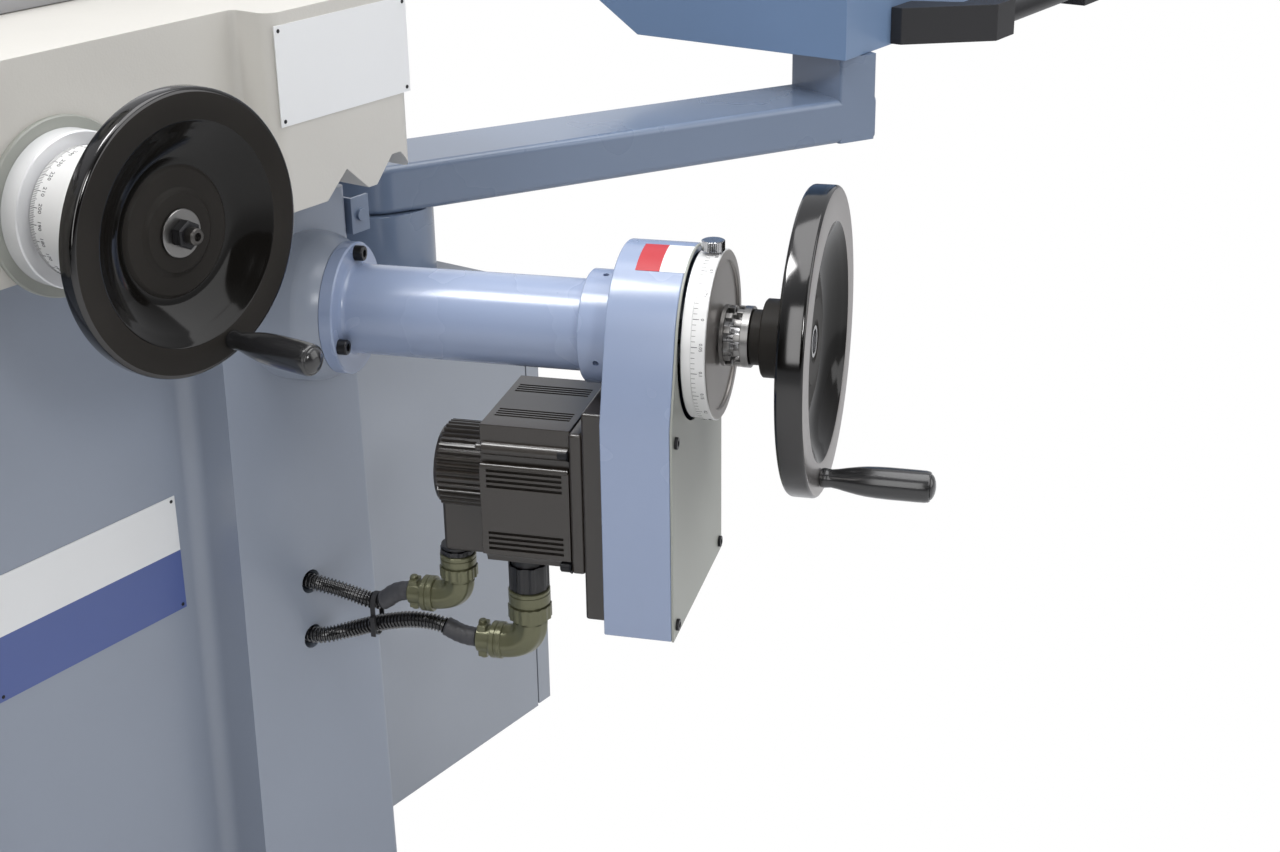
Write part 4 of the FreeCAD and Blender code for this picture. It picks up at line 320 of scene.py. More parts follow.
@dataclass(frozen=True)
class Finish:
    """A procedural material: colour, gloss and what its surface is like close up."""

    name: str
    colour: Colour
    roughness: float
    grain: Grain
    slot: str
    metallic: float = 0.0
    coat: float = 0.0
    coat_roughness: float = 0.05
    shine: float = 0.5
    scale: float = 400.0
    depth: float = 0.02
    spread: float = 0.02
    rough_spread: float = 0.02
    place: Place | None = None
    side: float = 0.0
    rise: float = 0.0

    def build(self) -> bpy.types.Material:
        """Makes the material on its first use.

        Returns:
            The material, which is made only once.
        """
        found = bpy.data.materials.get(self.name)
        if found:
            return found
        material = bpy.data.materials.new(self.name)
        material.use_nodes = True
        build = NodeBuilder(material.node_tree)
        vector = self.coordinates(build)
        grime = build.add("Group", node_tree=GROUPS.grime())
        mask = build.feed(grime, {"Scale": 9.0, "Vector": vector}).outputs["Mask"]
        dark, light = ([min(1, part * (1 + sign * self.spread)) for part in self.colour] for sign in (-1, 1))
        least, most = max(0.02, self.roughness - self.rough_spread), self.roughness + self.rough_spread
        gloss = build.feed(build.add("MapRange"), {"To Min": least, "To Max": most, "Value": mask})
        bump = build.feed(build.add("Bump"), {
            "Strength": min(1.0, self.depth * 10), "Distance": self.depth * MM,
            "Height": self.height(build, vector)})
        build.feed(material.node_tree.nodes["Principled BSDF"], {
            "Metallic": self.metallic, "Coat Weight": self.coat, "Coat Roughness": self.coat_roughness,
            "Specular IOR Level": self.shine, "Base Color": build.mix(mask, dark, light),
            "Roughness": gloss.outputs[0], "Normal": bump.outputs[0]})
        return material

    def coordinates(self, build: NodeBuilder) -> bpy.types.NodeSocket:
        """Object coordinates, centred on the finish's place where it has one.

        Args:
            build: Builder in the material.

        Returns:
            The coordinates' socket.
        """
        source = build.add("TexCoord").outputs["Object"]
        if self.place is None:
            return source
        inverse = self.place.spindle(self.side, self.rise).inverted()
        return build.feed(build.add("Mapping"), {
            "Location": inverse.to_translation(), "Rotation": inverse.to_euler(),
            "Vector": source}).outputs[0]

    def height(self, build: NodeBuilder, vector: bpy.types.NodeSocket) -> bpy.types.NodeSocket:
        """Height of the close-up texture.

        Args:
            build: Builder in the material.
            vector: Coordinates.

        Returns:
            The height's socket.
        """
        if self.grain is Grain.TURNED and self.place:
            rings = build.add("Group", node_tree=GROUPS.lathe_rings())
            return build.feed(rings, {"Pitch": self.scale, "Vector": vector}).outputs["Height"]
        if self.grain is Grain.GROUND:
            stretched = build.feed(build.add("Mapping"), {"Scale": (0.03, 1.0, 1.0), "Vector": vector})
            return build.noise(stretched.outputs[0], self.scale, 3.0, 0.6)
        coarse = 0.9 if self.grain is Grain.TEXTURED else 0.4
        grain = build.add("Group", node_tree=GROUPS.paint_grain())
        return build.feed(grain, {"Scale": self.scale, "Coarse": coarse, "Vector": vector}).outputs["Height"]


# Finishes of the machine
BASE_BLUE = Finish("base_enamel", (0.255, 0.288, 0.352), 0.34, Grain.ENAMEL, "base_paint", coat=0.25,
                   coat_roughness=0.2, scale=260, depth=0.05)
SADDLE_GREY = Finish("saddle_enamel", (0.545, 0.53, 0.495), 0.42, Grain.TEXTURED, "saddle_paint", scale=520,
                     depth=0.10, spread=0.04)
FEED_BLUE = Finish("feed_enamel", (0.265, 0.325, 0.47), 0.27, Grain.ENAMEL, "feed_paint", coat=0.55,
                   coat_roughness=0.17, scale=420, depth=0.035)
COVER_GREEN = Finish("cover_enamel", (0.31, 0.32, 0.29), 0.38, Grain.ENAMEL, "cover_paint", scale=500,
                     depth=0.03)
CABINET_BLUE = Finish("cabinet_enamel", (0.30, 0.325, 0.37), 0.30, Grain.ENAMEL, "cabinet_paint", scale=300,
                      depth=0.01)
MOTOR_BLACK = Finish("motor_enamel", (0.026, 0.021, 0.017), 0.32, Grain.TEXTURED, "motor_paint", coat=0.5,
                     coat_roughness=0.2, scale=900, depth=0.03)
IRON = Finish("scraped_iron", (0.30, 0.30, 0.31), 0.35, Grain.GROUND, "iron", metallic=0.9, scale=300,
              depth=0.01)
STEEL = Finish("turned_steel", (0.62, 0.62, 0.63), 0.22, Grain.GROUND, "steel", metallic=1.0, scale=900,
               depth=0.008)
DARK_STEEL = Finish("black_oxide", (0.02, 0.02, 0.022), 0.32, Grain.MOULDED, "dark_steel", metallic=0.6,
                    scale=800, depth=0.006)
BLACK_PLASTIC = Finish("moulded_plastic", (0.018, 0.018, 0.02), 0.42, Grain.MOULDED, "black_plastic",
                       scale=1400, depth=0.03)
GLOSS_BLACK = Finish("gloss_black", (0.008, 0.008, 0.009), 0.10, Grain.MOULDED, "gloss_black", coat=1.0,
                     coat_roughness=0.04, scale=120, depth=0.004)
OLIVE = Finish("olive_anodised", (0.145, 0.145, 0.085), 0.28, Grain.MOULDED, "olive_alloy", metallic=0.4,
               scale=900, depth=0.008)
SLEEVE_GREY = Finish("shrunk_sleeve", (0.055, 0.055, 0.06), 0.45, Grain.MOULDED, "sleeve_rubber", scale=500,
                     depth=0.01)
RUBBER = Finish("belt_rubber", (0.03, 0.03, 0.03), 0.7, Grain.MOULDED, "belt_rubber", scale=700, depth=0.02)
RED = Finish("red_plastic", (0.55, 0.02, 0.015), 0.25, Grain.MOULDED, "red_plastic", coat=0.4, scale=600,
             depth=0.004)
STONE = Finish("bonded_stone", (0.70, 0.70, 0.66), 0.9, Grain.TEXTURED, "stone", scale=1500, depth=0.25)
BARREL_BLUE = Finish("barrel_enamel", (0.28, 0.32, 0.40), 0.35, Grain.ENAMEL, "base_paint", scale=300,
                     depth=0.04)
# The arm's blue paint, made darker than its own colour: painted shade for the arm's front faces and the end
# post under the box
ARM_BLUE_WITH_SHADE = Finish("arm_enamel_painted_shade", (0.14, 0.185, 0.27), 0.28, Grain.ENAMEL, "cabinet_paint", coat=0.6,
                  coat_roughness=0.15, scale=300, depth=0.01)
BOX_BLUE = Finish("box_enamel", (0.155, 0.235, 0.38), 0.30, Grain.ENAMEL, "cabinet_paint", coat=0.4,
                  coat_roughness=0.15, scale=300, depth=0.01)
WHEEL_SATIN = Finish("burnished_iron", (0.020, 0.018, 0.016), 0.40, Grain.TURNED, "black_iron", shine=0.10,
                     scale=1300, depth=0.006, spread=0.25)
WHEEL_GLOSS = Finish("polished_enamel", (0.005, 0.0045, 0.004), 0.10, Grain.MOULDED, "black_iron", shine=0.28,
                     scale=90, depth=0.004)
WHEEL_RIM = Finish("polished_rim", (0.07, 0.069, 0.069), 0.12, Grain.TURNED, "black_iron", metallic=1.0,
                   scale=1500, depth=0.002)
# Lighter metal on the down wheel's front band: a painted reflection that stands in for the pale sheen the
# band shows at a grazing view
PAINTED_RING_REFLECTION = Finish("ring_painted_reflection", (0.42, 0.40, 0.39), 0.34, Grain.TURNED, "black_iron", metallic=1.0,
                   scale=1300, depth=0.004)
CONDUIT_BLACK = Finish("conduit_nylon", (0.008, 0.008, 0.009), 0.20, Grain.MOULDED, "gloss_black", coat=0.8,
                       coat_roughness=0.10, shine=0.7, scale=200, depth=0.002)
GRIP_BLACK = Finish("grip_plastic", (0.014, 0.014, 0.015), 0.24, Grain.MOULDED, "gloss_black", coat=0.6,
                    coat_roughness=0.12, scale=500, depth=0.004)
SCALE_METAL = Finish("dial_alloy", (0.72, 0.72, 0.715), 0.34, Grain.TURNED, "scale_metal", metallic=0.15,
                     scale=1600, depth=0.005)
BRIGHT_ALLOY = Finish("bright_alloy", (0.78, 0.785, 0.80), 0.26, Grain.TURNED, "scale_metal", metallic=0.3,
                      scale=1200, depth=0.006)
DIAL_FACE = Finish("turned_face", (0.36, 0.335, 0.315), 0.33, Grain.TURNED, "scale_metal", metallic=0.55,
                   scale=1200, depth=0.008)
STEEL_TURNED = Finish("steel_rings", (0.24, 0.235, 0.23), 0.28, Grain.TURNED, "steel", metallic=1.0,
                      scale=1400, depth=0.006)
WORN_STEEL = Finish("worn_steel", (0.10, 0.095, 0.09), 0.30, Grain.MOULDED, "steel", metallic=0.9, scale=500,
                    depth=0.006)
FILLED_LINE = Finish("filled_line", (0.03, 0.03, 0.035), 0.6, Grain.MOULDED, "dark_steel", scale=800,
                     depth=0.002)
PLATE_WHITE = Finish("plate_white", (0.74, 0.75, 0.76), 0.35, Grain.MOULDED, "cover_paint", scale=300,
                     depth=0.004)
PLATE_BLUE = Finish("plate_blue", (0.075, 0.11, 0.30), 0.35, Grain.MOULDED, "cover_paint", scale=300,
                    depth=0.004)
PLATE_RED = Finish("plate_red", (0.45, 0.03, 0.04), 0.35, Grain.MOULDED, "red_plastic", scale=300,
                   depth=0.004)
BRASS = Finish("pole_brass", (0.50, 0.36, 0.14), 0.35, Grain.GROUND, "iron", metallic=1.0, scale=400,
               depth=0.004)
SCREEN_GLASS = Finish("screen_cover", (0.02, 0.025, 0.03), 0.08, Grain.MOULDED, "gloss_black", coat=1.0,
                      scale=60, depth=0.001)

SLOT_FINISHES = {
    "base_paint": BASE_BLUE, "saddle_paint": SADDLE_GREY, "feed_paint": FEED_BLUE,
    "cover_paint": COVER_GREEN, "motor_paint": MOTOR_BLACK, "cabinet_paint": CABINET_BLUE, "iron": IRON,
    "black_iron": WHEEL_SATIN, "steel": STEEL, "dark_steel": DARK_STEEL, "scale_metal": SCALE_METAL,
    "olive_alloy": OLIVE, "black_plastic": BLACK_PLASTIC, "gloss_black": GLOSS_BLACK, "red_plastic": RED,
    "belt_rubber": RUBBER, "sleeve_rubber": SLEEVE_GREY, "stone": STONE,
}
# The swivel arm, its post and the guard tab take the arm paint, which carries painted shade in its colour
NODE_FINISHES = {"spindle_motor": BARREL_BLUE, "swivel_arm": ARM_BLUE_WITH_SHADE, "arm_post": ARM_BLUE_WITH_SHADE,
                 "pendant_box": BOX_BLUE, "guard_tab": ARM_BLUE_WITH_SHADE}
ROUNDINGS = {
    "base": 6.0, "saddle": 2.0, "column": 3.0, "swivel_arm": 1.2, "pendant_box": 2.0, "cabinet_shell": 0.6,
    "cabinet_door": 1.2, "head_casting": 3.0, "table": 1.2, "magnetic_chuck": 1.0, "splash_guard": 0.8,
    "wheel_guard": 1.2, "handle_brackets": 3.0, "guard_tab": 0.5, "levelling_feet": 1.0, "arm_post": 1.0,
    "timing_belt": 0.4, "spindle": 0.5, "grinding_wheel": 0.8, "spindle_motor": 0.6,
}
SMOOTH_NODES = {"power_connector", "encoder_connector", "feed_shaft", "feed_bearings", "elevating_screw",
                "cross_screw", "down_bush"}


# Mesh helpers on Blender's own operators
def deselect() -> None:
    """Leaves edit mode and deselects everything."""
    if bpy.context.object and bpy.context.object.mode != "OBJECT":
        bpy.ops.object.mode_set(mode="OBJECT")
    bpy.ops.object.select_all(action="DESELECT")


def activate(piece: bpy.types.Object) -> bpy.types.Object:
    """Makes one object the only selected and active one.

    Args:
        piece: The object.

    Returns:
        The same object.
    """
    deselect()
    piece.select_set(True)
    bpy.context.view_layer.objects.active = piece
    return piece


def dress(piece: bpy.types.Object, finish: Finish) -> bpy.types.Object:
    """Gives a piece one finish all over.

    Args:
        piece: The mesh.
        finish: Its finish.

    Returns:
        The same piece.
    """
    piece.data.materials.clear()
    piece.data.materials.append(finish.build())
    return piece


def seat(piece: bpy.types.Object, matrix: Matrix) -> bpy.types.Object:
    """Moves a piece by a matrix and applies it, so that the object ends at the origin.

    Args:
        piece: The mesh.
        matrix: Where its own space lies, in metres.

    Returns:
        The same piece.
    """
    activate(piece)
    piece.matrix_world = matrix @ piece.matrix_world
    bpy.ops.object.transform_apply(location=True, rotation=True, scale=True)
    return piece


def smooth(piece: bpy.types.Object, angle: float = EDGE_ANGLE) -> bpy.types.Object:
    """Shades a piece smooth, with its edges over an angle kept sharp.

    Args:
        piece: The mesh.
        angle: The angle, in degrees.

    Returns:
        The same piece.
    """
    activate(piece)
    bpy.ops.object.shade_smooth_by_angle(angle=math.radians(angle))
    return piece


def even(piece: bpy.types.Object) -> bpy.types.Object:
    """Weighs a piece's shading by face area, so that flat faces look flat beside rounded edges.

    Args:
        piece: The finished mesh.

    Returns:
        The same piece.
    """
    activate(piece)
    weights = piece.modifiers.new("even_shading", "WEIGHTED_NORMAL")
    weights.keep_sharp = True
    weights.weight = 100
    bpy.ops.object.modifier_apply(modifier=weights.name)
    return piece


def soften(piece: bpy.types.Object, width: float, segments: int = 3,
           angle: float = EDGE_ANGLE) -> bpy.types.Object:
    """Rounds the edges of a piece.

    Args:
        piece: The mesh to round.
        width: Width of the rounding, in mm.
        segments: Steps across it.
        angle: Edges that turn by less than this stay as they are.

    Returns:
        The same piece.
    """
    activate(piece)
    bevel = piece.modifiers.new("rounding", "BEVEL")
    bevel.width = width * MM
    bevel.segments = segments
    bevel.limit_method = "ANGLE"
    bevel.angle_limit = math.radians(angle)
    bevel.use_clamp_overlap = True
    bevel.miter_outer = "MITER_ARC"
    bpy.ops.object.modifier_apply(modifier=bevel.name)
    return smooth(piece, angle)


def carve(piece: bpy.types.Object, tools: Iterable[bpy.types.Object]) -> bpy.types.Object:
    """Cuts tools out of a piece and removes them.

    Args:
        piece: The mesh.
        tools: The cutters.

    Returns:
        The same piece.
    """
    for tool in tools:
        activate(piece)
        cut = piece.modifiers.new("cut", "BOOLEAN")
        cut.operation = "DIFFERENCE"
        cut.solver = "EXACT"
        cut.object = tool
        bpy.ops.object.modifier_apply(modifier=cut.name)
        bpy.data.objects.remove(tool, do_unlink=True)
    return piece


def join(pieces: Sequence[bpy.types.Object], name: str) -> bpy.types.Object:
    """Joins pieces into one object.

    Args:
        pieces: The pieces, of which the first stays.
        name: The object's name.

    Returns:
        The joined object.
    """
    deselect()
    for piece in pieces:
        piece.select_set(True)
    bpy.context.view_layer.objects.active = pieces[0]
    bpy.ops.object.join()
    pieces[0].name = name
    return pieces[0]


def block(name: str, low: Sequence[float], high: Sequence[float], rounding: float = 0.0) -> bpy.types.Object:
    """Block between two corners in mm, with its edges rounded.

    Args:
        name: The object's name.
        low: Its lowest corner.
        high: Its highest corner.
        rounding: Rounding of its edges, in mm.

    Returns:
        The new piece.
    """
    deselect()
    middle = [(a + b) / 2 * MM for a, b in zip(low, high)]
    bpy.ops.mesh.primitive_cube_add(size=1, location=middle)
    piece = bpy.context.object
    piece.name = name
    piece.scale = [(b - a) * MM for a, b in zip(low, high)]
    bpy.ops.object.transform_apply(location=True, rotation=True, scale=True)
    if rounding:
        soften(piece, rounding)
    return piece


def lathe(name: str, profile: Sequence[Point], steps: int = 96, rounding: float = 0.0,
          closed: bool = True) -> bpy.types.Object:
    """Turned piece on its own Z axis: a circle that is extruded and resized along a section.

    Args:
        name: The object's name.
        profile: (distance out, radius) pairs in mm; a radius of zero closes an end.
        steps: Sides of the turned form.
        rounding: Rounding of its edges, in mm.
        closed: True joins the last ring back to the first, for a ring-shaped section.

    Returns:
        The new object.
    """
    deselect()
    rings = [(out * MM, max(radius, 0.0) * MM) for out, radius in profile]
    solid_start = rings[0][1] == 0
    solid_end = rings[-1][1] == 0
    rings = [ring for ring in rings if ring[1] > 0]
    out, radius = rings[0]
    bpy.ops.mesh.primitive_circle_add(vertices=steps, radius=radius, location=(0, 0, out),
                                      fill_type="NGON" if solid_start else "NOTHING")
    piece = bpy.context.object
    piece.name = name
    bpy.ops.object.transform_apply(location=True, rotation=True, scale=True)
    bpy.ops.object.mode_set(mode="EDIT")
    bpy.ops.mesh.select_mode(type="EDGE")
    bpy.ops.mesh.select_all(action="SELECT")
    for next_out, next_radius in rings[1:]:
        bpy.ops.mesh.extrude_edges_move(TRANSFORM_OT_translate={"value": (0, 0, next_out - out)})
        ratio = next_radius / radius
        if abs(ratio - 1) > 1e-9:
            bpy.ops.transform.resize(value=(ratio, ratio, 1), center_override=(0, 0, next_out))
        out, radius = next_out, next_radius
    if solid_end:
        bpy.ops.mesh.edge_face_add()
    bpy.ops.object.mode_set(mode="OBJECT")
    if closed and not solid_start and not solid_end:
        bpy.ops.object.mode_set(mode="EDIT")
        bpy.ops.mesh.select_all(action="DESELECT")
        bpy.ops.mesh.select_non_manifold()
        bpy.ops.mesh.bridge_edge_loops()
        bpy.ops.object.mode_set(mode="OBJECT")
    outward(piece)
    if rounding:
        soften(piece, rounding, 3, TURNED_ANGLE)
    return smooth(piece, TURNED_ANGLE)


def outward(piece: bpy.types.Object) -> None:
    """Merges doubled points and turns the faces outwards.

    Args:
        piece: The mesh.
    """
    activate(piece)
    bpy.ops.object.mode_set(mode="EDIT")
    bpy.ops.mesh.select_all(action="SELECT")
    bpy.ops.mesh.remove_doubles(threshold=SAME_POINT)
    bpy.ops.mesh.normals_make_consistent(inside=False)
    bpy.ops.object.mode_set(mode="OBJECT")


def slab(name: str, outline: Sequence[Point], start: float, end: float, rounding: float = 0.0,
         segments: int = 3) -> bpy.types.Object:
    """Plate with a flat outline, extruded along its own Z axis; sizes in mm.

    Args:
        name: The object's name.
        outline: Its corners.
        start: Where it starts along the axis.
        end: Where it ends.
        rounding: Rounding of its edges.
        segments: Steps across a rounding.

    Returns:
        The new piece.
    """
    deselect()
    bpy.ops.mesh.primitive_circle_add(vertices=len(outline), radius=1, fill_type="NGON")
    piece = bpy.context.object
    piece.name = name
    for vertex, (x, y) in zip(piece.data.vertices, outline):
        vertex.co = Vector((x, y, start)) * MM
    bpy.ops.object.mode_set(mode="EDIT")
    bpy.ops.mesh.select_all(action="SELECT")
    bpy.ops.mesh.extrude_region_move(TRANSFORM_OT_translate={"value": (0, 0, (end - start) * MM)})
    bpy.ops.object.mode_set(mode="OBJECT")
    outward(piece)
    if rounding:
        soften(piece, rounding, segments, CUT_ANGLE)
    return smooth(piece, CUT_ANGLE)


def fluted(name: str, radius: float, depth: float, count: int, start: float, end: float) -> bpy.types.Object:
    """Round bar with flutes along it, on its own Z axis; sizes in mm.

    Args:
        name: The object's name.
        radius: Outer radius.
        depth: Depth of a flute.
        count: Number of flutes.
        start: Where it starts along the axis.
        end: Where it ends.

    Returns:
        The new piece.
    """
    points = []
    for index in range(count * 4):
        reach = radius - (depth if index % 4 in (0, 1) else 0)
        turn = 2 * math.pi * (index + 0.5) / (count * 4)
        points.append((reach * math.cos(turn), reach * math.sin(turn)))
    return slab(name, points, start, end)


def arc(centre: Point, radius: float, start: float, end: float, steps: int = 12) -> list[Point]:
    """Points along an arc, in mm and degrees.

    Args:
        centre: Its centre.
        radius: Its radius.
        start: Angle of the first point.
        end: Angle of the last point.
        steps: Steps between them.

    Returns:
        The points.
    """
    points = []
    for index in range(steps + 1):
        angle = math.radians(start + (end - start) * index / steps)
        points.append((centre[0] + radius * math.cos(angle), centre[1] + radius * math.sin(angle)))
    return points


class Machine:
    """The CAD frame and what is common to all sub-assemblies."""

    def __init__(self) -> None:
        """Loads the frame and notes its box."""
        self.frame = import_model()
        self.cad_box = [list(corner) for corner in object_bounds()]
        self.done: set[str] = set()

    def fix(self, piece: bpy.types.Object, body: str, *nodes: str) -> bpy.types.Object:
        """Fixes a piece to its body and hides the CAD nodes that it stands for.

        Args:
            piece: The finished piece.
            body: The body that carries it.
            nodes: CAD nodes that it replaces.

        Returns:
            The same piece.
        """
        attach(piece, body)
        if nodes:
            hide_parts(*nodes)
            self.done.update(nodes)
        LOG.info("%s on %s: %d faces", piece.name, body, len(piece.data.polygons))
        return piece

    def take(self, piece: bpy.types.Object, finish: Finish, body: str, *nodes: str) -> bpy.types.Object:
        """Dresses a finished piece and fixes it to its body.

        Args:
            piece: The finished piece.
            finish: Its finish.
            body: The body that carries it.
            nodes: CAD nodes that it replaces.

        Returns:
            The same piece.
        """
        return self.fix(dress(even(piece), finish), body, *nodes)

    def turned(self, name: str, rows: Sequence[Point], matrix: Matrix, finish: Finish, body: str, *nodes: str,
               steps: int = 64) -> bpy.types.Object:
        """Turns a piece, seats it and fixes it to its body.

        Args:
            name: The object's name.
            rows: (distance out, radius) pairs in mm.
            matrix: Where its own space lies.
            finish: Its finish.
            body: The body that carries it.
            nodes: CAD nodes that it replaces.
            steps: Sides of the turned form.

        Returns:
            The new piece.
        """
        return self.take(seat(lathe(name, rows, steps), matrix), finish, body, *nodes)

    def refine(self, node: str, body: str, finish: Finish, rounding: float) -> bpy.types.Object:
        """Copies a CAD node, cleans the copy and rounds its edges.

        Args:
            node: The CAD node.
            body: The body that carries it.
            finish: Its finish.
            rounding: Rounding of its edges, in mm.

        Returns:
            The new piece.
        """
        source = self.frame["nodes"][node]
        piece = source.copy()
        piece.data = source.data.copy()
        bpy.context.scene.collection.objects.link(piece)
        piece.parent = None
        piece.matrix_world = Matrix.Identity(4)
        piece.name = node + "_finished"
        activate(piece)
        bpy.ops.object.mode_set(mode="EDIT")
        bpy.ops.mesh.customdata_custom_splitnormals_clear()
        bpy.ops.mesh.select_all(action="SELECT")
        bpy.ops.mesh.remove_doubles(threshold=2 * SAME_POINT)
        bpy.ops.mesh.dissolve_limited(angle_limit=math.radians(0.6))
        bpy.ops.object.mode_set(mode="OBJECT")
        if rounding:
            soften(piece, rounding, 2, FRAME_ANGLE)
        else:
            smooth(piece, FRAME_ANGLE)
        return self.take(piece, finish, body, node)

    def finish_plain(self) -> None:
        """Refines every CAD node that no sub-assembly has replaced."""
        record = self.frame["record"]
        bodies = record["behaviour"]["bodies"]
        owner = {node: body for body, nodes in bodies.items() for node in nodes}
        slots = {part["node"]: part["material_slot"] for part in record["subparts"]}
        for node in sorted(self.frame["nodes"]):
            if node in self.done:
                continue
            rounding = 0.0 if node in SMOOTH_NODES else ROUNDINGS.get(node, 0.8)
            self.refine(node, owner[node], NODE_FINISHES.get(node) or SLOT_FINISHES[slots[node]], rounding)
        for node, solid in self.frame["nodes"].items():
            solid.data.materials.clear()
            solid.data.materials.append(SLOT_FINISHES[slots[node]].build())


def zone(piece: bpy.types.Object, finish: Finish, test: Test,
         matrix: Matrix | None = None) -> bpy.types.Object:
    """Gives a second finish to the faces whose distance out and radius pass a test, in mm.

    Args:
        piece: The mesh.
        finish: The second finish.
        test: Takes distance out and radius.
        matrix: Where the piece's axis lies, once it is seated.

    Returns:
        The same piece.
    """
    piece.data.materials.append(finish.build())
    index = len(piece.data.materials) - 1
    inverse = matrix.inverted() if matrix else Matrix.Identity(4)
    for face in piece.data.polygons:
        centre = inverse @ face.center / MM
        if test(centre.z, math.hypot(centre.x, centre.y)):
            face.material_index = index
    return piece


def in_place(finish: Finish, place: Place, label: str, side: float = 0.0, rise: float = 0.0) -> Finish:
    """A finish whose turning marks run round an axis of the machine.

    Args:
        finish: The plain finish.
        place: Place of the axis.
        label: Ending of the new name.
        side: Distance of the axis to the right of the place, in mm.
        rise: Height above it, in mm.

    Returns:
        The new finish.
    """
    return replace(finish, name=finish.name + "_" + label, place=place, side=side, rise=rise)


@dataclass
class Handwheel:
    """Cast handwheel with a flat rim, a dished web, a hub disc and a revolving grip."""

    label: str
    place: Place
    body: str
    grip_body: str
    face: float
    radius: float
    rim: float
    band: float
    disc: float
    disc_sink: float
    boss: float
    boss_sink: float
    bore: float
    hub: float
    hub_back: float
    grip_angle: float
    grip_orbit: float
    grip_length: float
    grip_radius: float
    sleeve: float = 0.0
    sleeve_back: float = 0.0
    web: float = 6.0
    seat_bore: float = 17.0
    # Whether the front band gets the lighter metal of the painted reflection
    worn: bool = False

    def profile(self) -> list[Point]:
        """Section of the wheel, from the bore round to the hub.

        Returns:
            (distance out, radius) pairs in mm.
        """
        face, inner, sink = self.face, self.radius - self.band, self.disc_sink
        floor, dish, back = face - self.boss_sink, face - sink, face - self.rim
        web, hub_end = dish - self.web, face - self.hub_back
        points = [(floor - 2, self.bore), (floor - 2, self.seat_bore - 4), (floor, self.seat_bore - 2),
                  (floor, self.boss - 1.2), (floor - 1.2, self.boss), (dish + 0.6, self.boss + 1.4),
                  (dish, self.boss + 2.6), (dish, self.disc - 1.5), (dish - 1.0, self.disc),
                  (dish - 2.4, self.disc + 1.2)]
        for share in (index / 10 for index in range(1, 10)):
            points.append((dish - 2.4 + (sink + 0.6) * share ** 1.7,
                           self.disc + 2 + (inner - 5 - self.disc) * share))
        points += [(face - 1.6, inner - 1.6), (face - 0.5, inner - 0.3), (face, inner + 0.8),
                   (face, self.radius - 3.2)]
        points += [(face - 3.2 + 3.2 * math.cos(turn), self.radius - 3.2 + 3.2 * math.sin(turn))
                   for turn in (0.35, 0.8, 1.2, 1.57)]
        points += [(back + 4.0, self.radius)]
        points += [(back + 4.0 - 4.0 * math.sin(turn), self.radius - 4.0 + 4.0 * math.cos(turn))
                   for turn in (0.4, 0.9, 1.3)]
        points += [(back, self.radius - 4.0), (back, inner + 3), (back + 2.5, inner),
                   (face - 3.7 - self.web, inner - 4), (web, self.disc), (web, self.hub + 2),
                   (web - 2, self.hub), (hub_end + 1, self.hub), (hub_end, self.hub - 1)]
        if not self.sleeve:
            return points + [(hub_end, self.bore)]
        end = face - self.sleeve_back
        return points + [(hub_end, self.sleeve), (end + 0.6, self.sleeve), (end, self.sleeve - 0.6),
                         (end, self.bore)]

    def build(self, machine: Machine) -> None:
        """Turns the wheel, gives its dish and rim their finishes and makes the grip.

        Args:
            machine: The machine that takes the pieces.
        """
        wheel = lathe(self.label + "_wheel", self.profile(), 160)
        dress(wheel, in_place(WHEEL_SATIN, self.place, self.label))
        face, inner, dish = self.face, self.radius - self.band, self.face - self.disc_sink
        zones: list[tuple[Finish, Test]] = [
            (WHEEL_GLOSS, lambda out, radius: self.disc + 1 < radius < inner + 0.5 and out > dish - 4),
            (WHEEL_RIM, lambda out, radius: radius > self.radius - 3.3)]
        # The front band gets the lighter metal of the painted reflection
        if self.worn:
            zones.append((PAINTED_RING_REFLECTION, lambda out, radius: inner + 0.2 < radius < self.radius - 2
                          and out > face - 1.2))
        for finish, test in zones:
            zone(wheel, in_place(finish, self.place, self.label), test)
        seat(wheel, self.place.spindle())
        machine.fix(wheel, self.body, self.label + "_handwheel")
        self.grip(machine)

    def grip(self, machine: Machine) -> None:
        """Makes the revolving grip and its domed pin.

        Args:
            machine: The machine that takes the pieces.
        """
        angle, length, radius = math.radians(self.grip_angle), self.grip_length, self.grip_radius
        axis = self.place.spindle(self.grip_orbit * math.cos(angle), self.grip_orbit * math.sin(angle))
        start = self.face + 0.6
        end = start + length
        shape = [(0.0, 0.58), (0.03, 0.63), (0.06, 0.60), (0.10, 0.57), (0.16, 0.63), (0.25, 0.76),
                 (0.34, 0.87), (0.42, 0.94), (0.52, 0.98), (0.62, 1.0), (0.74, 1.0), (0.88, 1.0),
                 (0.955, 0.99), (0.985, 0.95), (0.997, 0.89)]
        rows = [(start, 4.2)] + [(start + length * along, radius * share) for along, share in shape]
        rows += [(end, radius * 0.80), (end, 4.2)]
        machine.turned(self.label + "_grip_turned", rows, axis, GRIP_BLACK, self.grip_body,
                       self.label + "_grip")
        tail = self.face - self.rim + 2
        dome = [(0.2, 0.79), (1.2, 0.74), (2.4, 0.60), (3.4, 0.38), (3.9, 0.16), (4.0, 0)]
        rows = [(tail, 0), (tail, 4.0), (end + 0.2, 4.0)]
        rows += [(end + rise, radius * share) for rise, share in dome]
        machine.turned(self.label + "_pin_turned", rows, axis, GRIP_BLACK, self.body,
                       self.label + "_grip_pin", steps=48)


def tick(place: Place, radius: float, angle: float, start: float, end: float, width: float,
         raised: float = 0.12) -> bpy.types.Object:
    """One filled graduation line on a drum, as a thin strip.

    Args:
        place: Place of the drum.
        radius: Radius of the drum, in mm.
        angle: Where it stands on the drum, in degrees.
        start: Distance out of its near end, in mm.
        end: Distance out of its far end, in mm.
        width: Its width, in mm.
        raised: How far it stands out of the drum, in mm.

    Returns:
        The new piece.
    """
    piece = block("tick", (-width / 2, radius - 0.3, start), (width / 2, radius + raised, end))
    return seat(piece, place.spindle() @ Matrix.Rotation(math.radians(angle), 4, "Z"))


